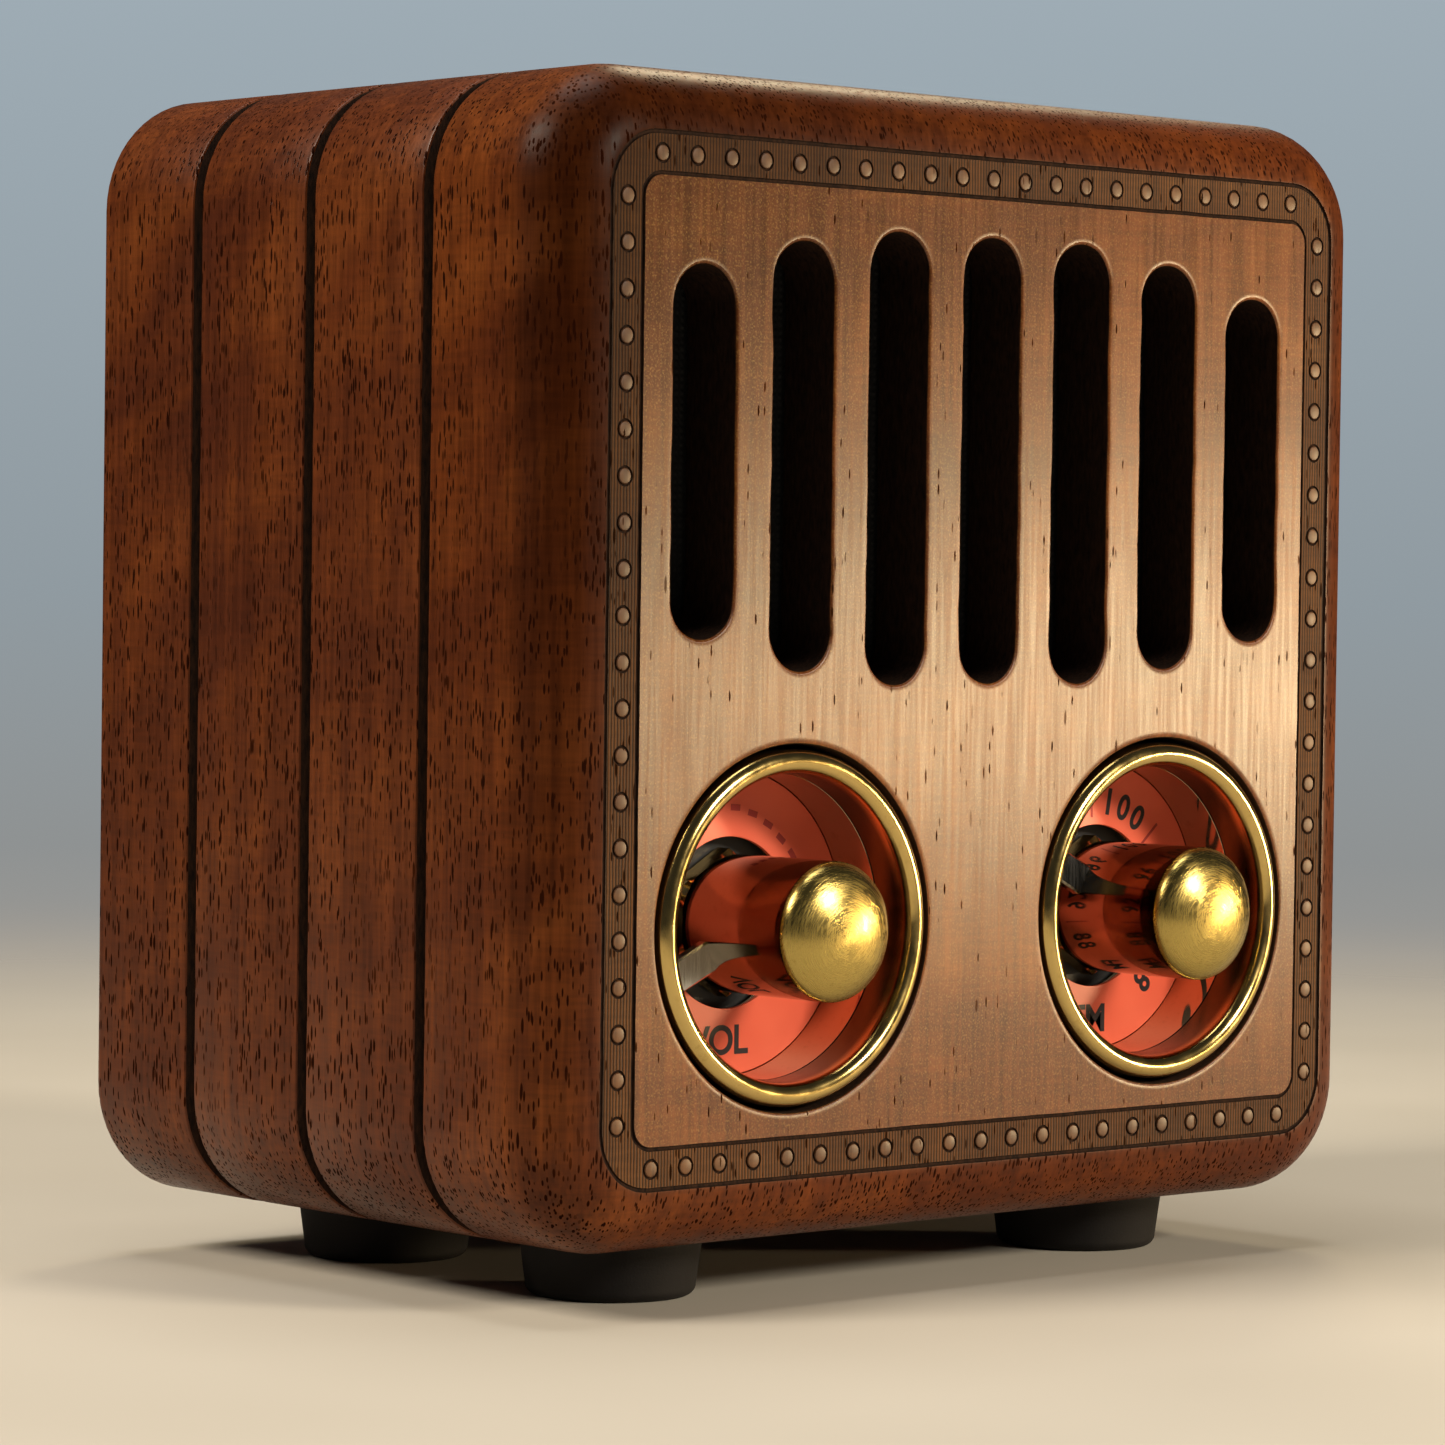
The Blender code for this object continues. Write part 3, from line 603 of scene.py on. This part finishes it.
def seam_behind(seam, look):
    """From the outer face of a layer round its rear edge to its inner wall."""
    face = seam - SEAM_GAP
    return [
        (0.0, seam - GROOVE_HALF - SEAM_LIP, look),
        (SEAM_LIP * 0.3, seam - GROOVE_HALF - SEAM_LIP * 0.3, look),
        (SEAM_LIP, seam - GROOVE_HALF, look),
        (GROOVE_DEPTH, face, JOINT),
        (REBATE_INSET, face, JOINT),
        (REBATE_INSET, face - REBATE_DEPTH, JOINT),
        (WALL, face - REBATE_DEPTH, JOINT),
    ]


def seam_in_front(seam, look):
    """From the inner wall of a layer round its front edge to its outer face."""
    face = seam + SEAM_GAP
    tip = face - SPIGOT_LENGTH
    return [
        (WALL, tip, look),
        (SPIGOT_INSET, tip, JOINT),
        (SPIGOT_INSET, face, JOINT),
        (GROOVE_DEPTH, face, JOINT),
        (SEAM_LIP, seam + GROOVE_HALF, JOINT),
        (SEAM_LIP * 0.3, seam + GROOVE_HALF + SEAM_LIP * 0.3, look),
        (0.0, seam + GROOVE_HALF + SEAM_LIP, look),
    ]


def hole_through(bm, outline_at, burnt):
    """A hole with a margin, a rounded lip and a wall whose last few faces are burnt.

    Outline_at gives the outline at an offset. Returns the first and last loops.
    """
    steps = [(LIP + 0.25, 0.0)] + quarter_round(LIP, 4) + [(0.0, WALL)]
    looks = [WOOD] * (len(steps) - 1 - burnt) + [MARK] * burnt
    loops = stack(bm, [(outline_at(offset), depth) for offset, depth in steps], looks)
    return loops[0], loops[-1]


def slot_outline(index, offset):
    top, bottom = SLOT_ENDS[abs(index)]
    width = SLOT_WIDTH + 2 * offset
    height = top - bottom + 2 * offset
    middle = (index * SLOT_PITCH, (top + bottom) / 2)
    outline = rounded(width, height, width / 2 - 0.005, 10, middle=middle)
    points = []
    for first, second in zip(outline, outline[1:] + outline[:1]):
        points.append(first)
        length = math.dist(first, second)
        for step in range(1, round(length / 1.2)):
            share = step / round(length / 1.2)
            points.append(tuple(a + (b - a) * share for a, b in zip(first, second)))
    return points


def wandering_slot(index):
    """Slot outlines whose unevenness is the same at every offset, so that the lip keeps its width."""
    base = slot_outline(index, 0.0)
    drift = [noise.noise_vector(Vector((x / 4, z / 2.2, index * 1.7))) * 0.11 for x, z in base]

    def outline_at(offset):
        # The number of points stays that of the base outline: each is moved out along the slot's own normal.
        top, bottom = SLOT_ENDS[abs(index)]
        points = []
        for (x, z), shift in zip(base, drift):
            spine = min(max(z, bottom + SLOT_WIDTH / 2), top - SLOT_WIDTH / 2)
            out = Vector((x - index * SLOT_PITCH, z - spine))
            out = out.normalized() * offset if out.length else out
            points.append((x + out.x + shift.x, z + out.y + shift.z))
        return points

    return outline_at


def rivet_places():
    reach = (RIVETS - 1) / 2 * RIVET_PITCH
    places = []
    for number in range(RIVETS):
        along = -reach + number * RIVET_PITCH
        for side in (-1, 1):
            places.append((along, side * RIVET_LINE))
            places.append((side * RIVET_LINE, along))
    return places


def rivet(bm, middle):
    """A raised head in a burnt moat. Returns the moat's outer loop, for the band to join."""
    sides = 20
    sway = noise.noise_vector(Vector((middle[0] * 0.7, middle[1] * 0.7, 5.0))) * 0.06
    middle = (middle[0] + sway.x, middle[1] + sway.z)
    head = RIVET_RADIUS
    profile = (
        (head + RIVET_MOAT, BAND_DEPTH),
        (head + RIVET_MOAT * 0.72, BAND_DEPTH + 0.10),
        (head + 0.03, BAND_DEPTH + 0.12),
        (head, 0.08),
        (head * 0.9, 0.02),
        (head * 0.6, 0.0),
    )
    steps = [(circle(radius, sides, middle), depth) for radius, depth in profile]
    loops = stack(bm, steps, (MARK, MARK, MARK, RIVET, RIVET))
    tip = bm.verts.new((middle[0], -0.005, middle[1]))
    for first, second in zip(loops[-1], loops[-1][1:] + loops[-1][:1]):
        bm.faces.new((first, second, tip)).material_index = RIVET
    return loops[0]


def marked_line(bm, line, depth_inside, depth_outside, inside, outside):
    """An engraved line with burnt walls. Returns its inner and outer loops."""
    half, radius = line
    margin = LINE_HALF + 0.10
    floor = LINE_DEPTH + 0.03
    profile = (
        (-margin, depth_inside),
        (-LINE_HALF, depth_inside),
        (-LINE_HALF * 0.5, floor),
        (LINE_HALF * 0.5, floor),
        (LINE_HALF, depth_outside),
        (margin, depth_outside),
    )
    steps = []
    for offset, depth in profile:
        wander = 0.0 if abs(offset) == margin else 0.035
        steps.append((uneven(square(half + offset, radius + offset), wander), depth))
    loops = stack(bm, steps, (inside, MARK, MARK, MARK, outside))
    return loops[0], loops[-1]


def front_panel():
    """The walnut layer with the slots, the wells and the marked border."""
    bm = bmesh.new()
    holes = [hole_through(bm, wandering_slot(index), 2) for index in range(-3, 4)]
    for middle in (VOLUME, TUNING):
        holes.append(hole_through(bm, lambda offset: circle(WELL_RADIUS + offset, 96, middle), 3))
    field, band_inside = marked_line(bm, INNER_LINE, 0.0, BAND_DEPTH, WOOD, BAND)
    band_outside, rim = marked_line(bm, OUTER_LINE, BAND_DEPTH, 0.04, BAND, SIDE)
    fill(bm, [field] + [front for front, back in holes])
    rivets = [rivet(bm, middle) for middle in rivet_places()]
    fill(bm, [band_outside, band_inside] + rivets, BAND)
    fillet = [(inset, depth, SIDE) for inset, depth in quarter_round(FRONT_FILLET, 14) if inset < 4.3]
    joint = seam_behind(SEAMS[0], SIDE)
    rings = sweep(bm, fillet + joint + [(WALL, WALL, JOINT)], rim, lips=range(len(fillet), len(fillet) + 3))
    inner_loops = [back for front, back in holes]
    boss = ((BOSS_RADIUS, WALL), (BOSS_RADIUS, BOSS_END), (PILOT_RADIUS, BOSS_END), (PILOT_RADIUS, PILOT_END))
    for middle in TIE_SCREWS:
        loops = stack(bm, [(circle(radius, 24, middle), depth) for radius, depth in boss], [JOINT] * 3)
        bm.faces.new(loops[-1]).material_index = JOINT
        inner_loops.append(loops[0])
    fill(bm, [rings[-1]] + inner_loops, JOINT)
    looks = ("walnut_front", "charred", "charred", "walnut_band", "walnut_rivet", "walnut_edge")
    return piece("front_panel_finish", bm, looks, ["front_panel"])


def case_frame(name, first_seam, last_seam):
    """A walnut ring between two seams."""
    bm = bmesh.new()
    sections = seam_in_front(first_seam, WOOD) + seam_behind(last_seam, WOOD)
    rings = sweep(bm, sections, lips=range(4, 10))
    bridge(bm, rings[-1], rings[0], JOINT)
    return piece(f"{name}_finish", bm, ("walnut_side", "charred"), [name])


def rear_cover():
    """The rear walnut layer, with a socket hole and four bores for the tie screws."""
    bm = bmesh.new()
    rounding = [(inset, CASE_DEPTH - depth, WOOD) for inset, depth in quarter_round(REAR_FILLET, 6)[::-1]]
    inside = [(WALL, INNER_FACE, JOINT)]
    margin = [(REAR_FILLET + 0.3, CASE_DEPTH, WOOD)]
    rings = sweep(bm, inside + seam_in_front(SEAMS[2], WOOD) + rounding + margin, lips=(5, 6, 7))
    width, height, radius = SOCKET_HOLE
    socket = []
    for offset, sunk in ((0.45, 0.0), (0.2, 0.0), (0.06, 0.06), (0.0, 0.2), (0.0, WALL)):
        outline = rounded(width + 2 * offset, height + 2 * offset, radius + offset, 8, middle=SOCKET)
        socket.append((outline, CASE_DEPTH - sunk))
    bore = (
        (HEAD_BORE + 0.4, CASE_DEPTH),
        (HEAD_BORE + 0.15, CASE_DEPTH),
        (HEAD_BORE, CASE_DEPTH - 0.15),
        (HEAD_BORE, HEAD_LEDGE),
        (SHANK_BORE, HEAD_LEDGE),
        (SHANK_BORE, INNER_FACE),
    )
    holes = [stack(bm, socket, (WOOD, WOOD, WOOD, JOINT))]
    for middle in TIE_SCREWS:
        steps = [(circle(radius, 40, middle), depth) for radius, depth in bore]
        holes.append(stack(bm, steps, (WOOD, WOOD, JOINT, JOINT, JOINT)))
    fill(bm, [rings[-1]] + [loops[0] for loops in holes], WOOD)
    fill(bm, [rings[0]] + [loops[-1] for loops in holes], JOINT)
    return piece("rear_cover_finish", bm, ("walnut_side", "charred"), ["rear_cover"])


# Turned pieces.

DIAL_SIDES = 128


def turned(profile, sides, looks=None, closed=False):
    """A lathe mesh about the depth axis from (radius, depth) points; a radius of 0 ends on the axis."""
    bm = bmesh.new()
    rows = []
    for radius, depth in profile:
        if radius == 0:
            rows.append([bm.verts.new((0, depth, 0))])
        else:
            rows.append(ring(bm, circle(radius, sides), depth))
    following = rows[1:] + rows[:1] if closed else rows[1:]
    for number, (first, second) in enumerate(zip(rows, following)):
        look = looks[number] if looks else 0
        if len(first) == 1 or len(second) == 1:
            point, loop = (first[0], second) if len(first) == 1 else (second[0], first)
            for i in range(len(loop)):
                bm.faces.new((loop[i], loop[(i + 1) % len(loop)], point)).material_index = look
        else:
            bridge(bm, first, second, look)
    return bm


def arc(middle, radius, start, end, steps):
    """(radius, depth) points on an arc, with angles in degrees from +radius towards +depth."""
    points = []
    for step in range(steps + 1):
        angle = math.radians(start + (end - start) * step / steps)
        points.append((middle[0] + radius[0] * math.cos(angle), middle[1] + radius[1] * math.sin(angle)))
    return points


def bezel(name, middle):
    """A ring with a rounded crown, a flange that rests on the well's step and a sleeve down to the cup."""
    ease = 0.03
    crown = arc((11.3, 0.45), (0.8, 0.85), 0, -180, 28)
    sleeve = [(CUP_INNER, SLEEVE_END - ease), (CUP_INNER + ease, SLEEVE_END)]
    sleeve += [(CUP_OUTER - ease, SLEEVE_END), (CUP_OUTER, SLEEVE_END - ease), (CUP_OUTER, FLANGE_END + 0.1)]
    sleeve += [(CUP_OUTER + 0.1, FLANGE_END), (12.0, FLANGE_END), (12.1, FLANGE_END - 0.1)]
    bm = turned(crown + sleeve, DIAL_SIDES, closed=True)
    return piece(f"{name}_bezel_finish", bm, ("brass_ring",), [f"{name}_bezel"], middle)


def dial_cup(name, middle):
    """A polished cup with a hole in its floor for the control."""
    ease = 0.05
    wall = [(CUP_INNER + 0.02, CUP_RIM), (CUP_INNER, CUP_RIM + 0.02), (CUP_INNER, CUP_FLOOR)]
    hole = [(CUP_HOLE + ease, CUP_FLOOR), (CUP_HOLE, CUP_FLOOR + ease), (CUP_HOLE, CUP_BACK - ease)]
    back = [(CUP_HOLE + ease, CUP_BACK), (CUP_OUTER - ease, CUP_BACK), (CUP_OUTER, CUP_BACK - ease)]
    profile = wall + hole + back + [(CUP_OUTER, CUP_RIM + 0.02), (CUP_OUTER - 0.02, CUP_RIM)]
    bm = turned(profile, DIAL_SIDES, closed=True)
    return piece(f"{name}_cup_finish", bm, ("brass_cup",), [f"{name}_dial_cup"], middle)


def dial_card(name, middle):
    """A printed ring of card on the cup's floor."""
    front = [(CARD_INNER + 0.03, CARD_FRONT), (CARD_OUTER - 0.02, CARD_FRONT)]
    rim = [(CARD_OUTER, CARD_FRONT + 0.02), (CARD_OUTER, CARD_BACK)]
    profile = front + rim + [(CARD_INNER, CARD_BACK), (CARD_INNER, CARD_FRONT + 0.03)]
    bm = turned(profile, DIAL_SIDES, closed=True)
    return piece(f"{name}_card_finish", bm, ("dial_card",), [f"{name}_dial_card"], middle)


def knob(name, middle):
    """A polished barrel with a brushed dome, bored for its shaft from behind."""
    radius, edge, height, back = 4.75, -3.7, 2.1, 6.0
    bore, bore_end = 3.3, -1.6
    dome = [(0, edge - height)]
    for step in range(1, 19):
        angle = step / 18 * QUARTER
        dome.append((radius * math.sin(angle), edge - height * math.cos(angle)))
    side = [(radius, edge + 0.12), (radius, -2.0), (radius, 0.0), (radius, back - 0.2), (radius - 0.2, back)]
    inside = [(bore + 0.1, back), (bore, back - 0.1), (bore, bore_end), (0, bore_end)]
    profile = dome + side + inside
    faces = [0 if number < len(dome) - 1 else 1 for number in range(len(profile) - 1)]
    bm = turned(profile, 96, faces)
    looks = ("knob_dome", "knob_side")
    return piece(f"{name}_knob_finish", bm, looks, [f"{name}_knob"], middle, body=f"{name}_control")


def pointer(name, middle, clock):
    """A bright tab with eased edges, from inside the knob out over the card."""
    bm = bmesh.new()
    width, front, back, ease = 2.2, 3.7, 4.6, 0.14
    root, tip = 4.3, 9.3
    steps = []
    for inset, depth in ((ease, front), (0, front + ease), (0, back - ease), (ease, back)):
        half = width / 2 - inset
        start, end = root + inset, tip - inset
        steps.append((((-half, start), (half, start), (half, end), (-half, end)), depth))
    slab(bm, steps)
    swing(bm, clock)
    looks, node = ("pointer_chrome",), f"{name}_pointer"
    return piece(f"{node}_finish", bm, looks, [node], middle, 20, body=f"{name}_control")


def pot_nut(name, middle):
    """A hexagon nut with turned-down corners and a threaded hole."""
    bm = bmesh.new()
    sides = 96
    front, back, corner_radius, chamfer = 6.5, 8.0, 5.1, 0.3
    thread, thread_depth, pitch = 3.8, 0.12, 0.25

    def hexagon(cap):
        def radius_at(angle):
            turn = (angle + math.pi / 6) % (math.pi / 3) - math.pi / 6
            return min(cap, corner_radius * math.cos(math.pi / 6) / math.cos(turn))

        return outline_about((0.0, 0.0), sides, radius_at)

    outer = hexagon(corner_radius)
    steps = [(hexagon(4.55), front), (outer, front + chamfer), (outer, back)]
    depth = back
    while depth > front + chamfer:
        steps.append((circle(thread, sides), depth))
        steps.append((circle(thread + thread_depth, sides), depth - thread_depth))
        depth -= pitch
    steps += [(circle(thread, sides), front + 0.1), (circle(thread + 0.15, sides), front)]
    loops = stack(bm, steps)
    bridge(bm, loops[-1], loops[0])
    return piece(f"{name}_nut_finish", bm, ("nut_brass",), [f"{name}_pot_nut"], middle, 30)


def foot(name):
    """A tapered rubber foot with a rolled lower edge, a moulded step and a hollow sole."""
    low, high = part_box(name)
    middle = (low + high) / 2
    top = (high.z - low.z) / MM
    outer = (high.x - low.x) / 2 / MM
    sole = [(0, 0.35), (3.4, 0.35), (3.7, 0.05), (3.8, 0.0)]
    rolled = arc((5.15, 0.75), (0.75, 0.75), -90, 0, 8)
    step = [(outer - 0.12, top - 0.5), (outer - 0.02, top - 0.35), (outer, top - 0.2)]
    bm = turned(sole + rolled + step + [(outer - 0.1, top), (0, top)], 72)
    bmesh.ops.rotate(bm, verts=bm.verts, matrix=Matrix.Rotation(QUARTER, 3, "X"))
    across, depth, up = (Vector((middle.x, middle.y, low.z)) - FRONT) / MM
    return piece(f"{name}_finish", bm, ("foot_rubber",), [name], (across, up), depth=depth)


def case_screw(number):
    """A pan head with a cross recess, on its long shank."""
    name = f"case_screw_{number}"
    bm = bmesh.new()
    sides = 48
    tip, head_front, head_back = 2.6, CASE_DEPTH - 1.6, CASE_DEPTH - 0.3
    shank, head = 1.25, 2.3

    def cross(arm, half):
        def radius_at(angle):
            turn = (angle + math.pi / 4) % QUARTER - math.pi / 4
            reach = min(arm / math.cos(turn), half / max(abs(math.sin(turn)), 1e-6))
            return max(reach, 0.98 * half / math.sin(math.pi / 4))

        return outline_about((0.0, 0.0), sides, radius_at)

    steps = [(circle(shank, sides), depth) for depth in (tip, head_front)]
    steps.append((circle(head, sides), head_front))
    for inset, below in ((0.0, 0.55), (0.18, 0.25), (0.55, 0.06)):
        steps.append((circle(head - inset, sides), head_back - below))
    for arm, half, below in ((1.35, 0.3, 0.0), (1.2, 0.26, 0.7), (0.7, 0.2, 1.0)):
        steps.append((cross(arm, half), head_back - below))
    slab(bm, steps)
    return piece(f"{name}_finish", bm, ("case_screw",), [name], panel_place(name), 30)


def charging_socket():
    """A rounded shell with a contact tongue inside."""
    bm = bmesh.new()
    start, floor, mouth = 43.6, 44.3, 50.6
    width, height, wall = 9.0, 3.4, 0.35
    outside = ((0.0, start), (0.0, mouth - 0.1), (0.08, mouth))
    inside = ((wall - 0.07, mouth), (wall, mouth - 0.08), (wall, floor))
    shell = []
    for inset, depth in outside + inside:
        outline = rounded(width - 2 * inset, height - 2 * inset, height / 2 - inset - 0.05, 8)
        shell.append((outline, depth))
    loops = stack(bm, shell)
    bm.faces.new(loops[0])
    tongue = []
    for half_width, half_height, depth in ((3.35, 0.36, floor), (3.35, 0.36, 49.6), (3.2, 0.22, 49.9)):
        tongue.append((rounded(2 * half_width, 2 * half_height, half_height * 0.5, 3), depth))
    rows = stack(bm, tongue, (1, 1))
    bm.faces.new(rows[-1]).material_index = 1
    fill(bm, [loops[-1], rows[0]])
    looks = ("socket_shell", "black_plastic")
    return piece("charging_socket_finish", bm, looks, ["charging_socket"], SOCKET, 30)


def grille_cloth():
    """The cloth behind the slots, stretched on the panel's inner face."""
    low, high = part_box("grille_cloth")
    width, height = (high.x - low.x), (high.z - low.z)
    middle = (low + high) / 2 - FRONT
    radius = 8.0
    bm = bmesh.new()
    outline = rounded(width / MM, height / MM, radius, 10, middle=(middle.x / MM, middle.z / MM))
    slab(bm, [(outline, depth_of(low) + 0.1), (outline, depth_of(high) - 0.1)])
    cloth = piece("grille_cloth_finish", bm, ("grille_cloth",), ["grille_cloth"])


# The dial printing.

MHZ_STEP = 51.5  # degrees between figures 4 MHz apart
FIRST_MHZ = -132.0
FIGURE_STEP = 12.2  # degrees between the digits of one figure
FIGURE_RADIUS = 7.67
INKS = ("dial_ink", "dial_ink_red")


def letter_mesh(text, height):
    """Flat letters as a raised skin of ink."""
    curve = bpy.data.curves.new("letters", "FONT")
    curve.body = text
    curve.align_x = "CENTER"
    curve.size = height * MM / 0.70
    curve.extrude = 0.008 * MM
    curve.offset = 0.07 * MM
    curve.space_character = 0.96
    holder = new_object("letters", curve)
    graph = bpy.context.evaluated_depsgraph_get()
    mesh = bpy.data.meshes.new_from_object(holder.evaluated_get(graph))
    bpy.data.objects.remove(holder)
    bpy.data.curves.remove(curve)
    return mesh


def add_letters(bm, text, height, clock, radius, upright=False, across=0.0, narrow=1.0):
    """Sets text at a clock angle and radius, turned with the dial unless it stands upright."""
    mesh = letter_mesh(text, height)
    part = bmesh.new()
    part.from_mesh(mesh)
    bpy.data.meshes.remove(mesh)
    low = min(vert.co.y for vert in part.verts)
    high = max(vert.co.y for vert in part.verts)
    grow = height / (high - low)
    bmesh.ops.translate(part, vec=(0, -(low + high) / 2, 0), verts=part.verts)
    bmesh.ops.scale(part, vec=(grow * narrow, grow, 1 / MM), verts=part.verts)
    flat_to_front = Matrix(((1, 0, 0), (0, 0, -1), (0, 1, 0)))
    bmesh.ops.transform(part, matrix=flat_to_front.to_4x4(), verts=part.verts)
    angle = math.radians(clock)
    if not upright:
        swing(part, clock)
    place = (radius * math.sin(angle) + across, CARD_FRONT - 0.012, radius * math.cos(angle))
    bmesh.ops.translate(part, vec=place, verts=part.verts)
    for face in part.faces:
        face.material_index = 0
    add_part(bm, part)


def add_part(bm, part):
    """Copies one mesh into another."""
    mesh = bpy.data.meshes.new("part")
    part.to_mesh(mesh)
    part.free()
    bm.from_mesh(mesh)
    bpy.data.meshes.remove(mesh)


def add_dash(bm, clock, inner, outer, width):
    """A short red line from the inner to the outer radius."""
    part = bmesh.new()
    half = width / 2
    outline = ((-half, inner), (half, inner), (half, outer), (-half, outer))
    slab(part, [(outline, CARD_FRONT - 0.02), (outline, CARD_FRONT - 0.004)])
    swing(part, clock)
    for face in part.faces:
        face.material_index = 1
    add_part(bm, part)


def tuning_print():
    """The FM card: a figure every 4 MHz, a red line half way to the next and the band's name."""
    bm = bmesh.new()
    for number in range(6):
        clock = FIRST_MHZ + number * MHZ_STEP
        figures = str(88 + 4 * number)
        for place, figure in enumerate(figures):
            turn = (place - (len(figures) - 1) / 2) * FIGURE_STEP
            add_letters(bm, figure, 1.95, clock + turn, FIGURE_RADIUS, narrow=0.94)
        if number < 5:
            add_dash(bm, clock + MHZ_STEP / 2, 6.45, 8.7, 0.2)
    add_letters(bm, "FM", 2.05, 180, 8.25, upright=True, across=-0.35)
    return piece("tuning_card_print", bm, INKS, [], TUNING, 30)


def volume_print():
    """The volume card: a row of red dashes and its name."""
    bm = bmesh.new()
    first, step, count = 4.0, 12.1, 11
    for number in range(count):
        middle = 7.9 - 0.17 * min(number, 3)
        add_dash(bm, first + number * step, middle - 0.22, middle + 0.22, 0.85)
    add_letters(bm, "VOL", 2.08, 180, 8.04, upright=True, across=-0.68)
    return piece("volume_card_print", bm, INKS, [], VOLUME, 30)


# The carried-over nodes keep their shapes and take finished materials.


def dress_nodes():
    for name, obj in frame["nodes"].items():
        slot = SLOTS[name]
        look = "knob_side" if slot == "brass_knob" else slot
        obj.data.materials.clear()
        obj.data.materials.append(LOOKS[look])


# Camera, light and floor.


def add_camera():
    yaw, pitch, roll = (math.radians(angle) for angle in (41.69, -1.70, 0.74))
    level = Vector((math.sin(yaw), math.cos(yaw), 0.0))
    side = Vector((math.cos(yaw), -math.sin(yaw), 0.0))
    up = Vector((0.0, 0.0, 1.0))
    ahead = level * math.cos(pitch) + up * math.sin(pitch)
    above = up * math.cos(pitch) - level * math.sin(pitch)
    right = side * math.cos(roll) + above * math.sin(roll)
    top = above * math.cos(roll) - side * math.sin(roll)
    lens = bpy.data.cameras.new("camera")
    lens.lens = 130.3
    lens.clip_start = 0.01
    camera = new_object("camera", lens)
    turn = Matrix((right, top, -ahead)).transposed().to_4x4()
    camera.matrix_world = Matrix.Translation((-0.2560, -0.2823, 0.0500)) @ turn
    bpy.context.scene.camera = camera


def add_light(name, azimuth, elevation, distance, size, power, colour):
    """A square soft light aimed at the case. Azimuth 0 is straight in front, positive to the right."""
    data = bpy.data.lights.new(name, "AREA")
    data.size = size
    data.energy = power
    data.color = colour
    light = new_object(name, data)
    a, e = math.radians(azimuth), math.radians(elevation)
    away = Vector((math.sin(a) * math.cos(e), -math.cos(a) * math.cos(e), math.sin(e)))
    light.location = Vector((0.0, 0.0, 0.04)) + away * distance
    light.rotation_mode = "QUATERNION"
    light.rotation_quaternion = (-away).to_track_quat("-Z", "Y")


def add_floor():
    """A pale round floor that fades out at its edge."""
    bm = bmesh.new()
    rows = stack(bm, [(circle(radius, 96), 0.0) for radius in (60, 150, 300, 450)])
    bm.faces.new(rows[0])
    bmesh.ops.rotate(bm, verts=bm.verts, matrix=Matrix.Rotation(QUARTER, 3, "X"))
    floor = new_object("floor", finished_mesh("floor", bm))
    recipe = Recipe("floor", Roughness=0.85)
    tone = recipe.noise((60, 60, 60), 2.0, 0.5)
    recipe.set("Base Color", recipe.ramp(tone, (0.35, (0.50, 0.465, 0.40)), (0.65, (0.53, 0.495, 0.43))))
    recipe.set("Alpha", recipe.span(recipe.length(recipe.object_space), 0.42, 0.10))
    floor.data.materials.append(recipe.material)


# Backdrop colours from below the horizon to above it.
BACKDROP = (
    (0.0, (0.36, 0.33, 0.29)),
    (0.17, (0.275, 0.288, 0.290)),
    (0.40, (0.280, 0.325, 0.355)),
    (1.0, (0.350, 0.420, 0.470)),
)


def add_world():
    """The camera sees a pale backdrop that darkens towards the floor; everything else sees a dim room."""
    world = bpy.data.worlds.new("studio")
    bpy.context.scene.world = world
    world.use_nodes = True
    nodes = world.node_tree.nodes
    link = world.node_tree.links.new
    height = nodes.new("ShaderNodeSeparateXYZ")
    link(nodes.new("ShaderNodeTexCoord").outputs["Generated"], height.inputs[0])
    share = nodes.new("ShaderNodeMapRange")
    share.inputs["From Min"].default_value = -0.09
    share.inputs["From Max"].default_value = 0.12
    link(height.outputs["Z"], share.inputs["Value"])
    ramp = nodes.new("ShaderNodeValToRGB")
    link(share.outputs[0], ramp.inputs[0])
    set_stops(ramp.color_ramp.elements, BACKDROP)
    background = nodes["Background"]
    link(ramp.outputs[0], background.inputs["Color"])
    dim = nodes.new("ShaderNodeBackground")
    dim.inputs["Color"].default_value = (0.33, 0.35, 0.38, 1.0)
    dim.inputs["Strength"].default_value = 0.10
    path = nodes.new("ShaderNodeLightPath")
    mix = nodes.new("ShaderNodeMixShader")
    link(path.outputs["Is Camera Ray"], mix.inputs[0])
    link(dim.outputs[0], mix.inputs[1])
    link(background.outputs[0], mix.inputs[2])
    link(mix.outputs[0], nodes["World Output"].inputs["Surface"])


add_camera()
add_world()
add_floor()
add_light("key", 51, -1, 0.62, 0.05, 2.2, (1.0, 0.76, 0.44))
add_light("front", 17, 22, 0.70, 0.14, 4.0, (1.0, 0.89, 0.72))
add_light("left", -97, 42, 0.60, 0.22, 3.4, (1.0, 0.88, 0.72))
add_light("overhead", 180, 84, 0.70, 0.35, 2.3, (1.0, 0.96, 0.90))
add_light("back", 127, 42, 0.60, 0.10, 0.7, (1.0, 0.84, 0.55))

dress_nodes()
front_panel()
case_frame("case_frame_front", SEAMS[0], SEAMS[1])
case_frame("case_frame_rear", SEAMS[1], SEAMS[2])
rear_cover()
for name, middle, clock in (("volume", VOLUME, -115.0), ("tuning", TUNING, -63.0)):
    bezel(name, middle)
    dial_cup(name, middle)
    dial_card(name, middle)
    knob(name, middle)
    pointer(name, middle, clock)
    pot_nut(name, middle)
tuning_print()
volume_print()
for depth_name in ("front", "rear"):
    for side_name in ("left", "right"):
        foot(f"foot_{depth_name}_{side_name}")
for number in range(1, 5):
    case_screw(number)
charging_socket()
grille_cloth()

bpy.context.scene.view_settings.view_transform = "Standard"
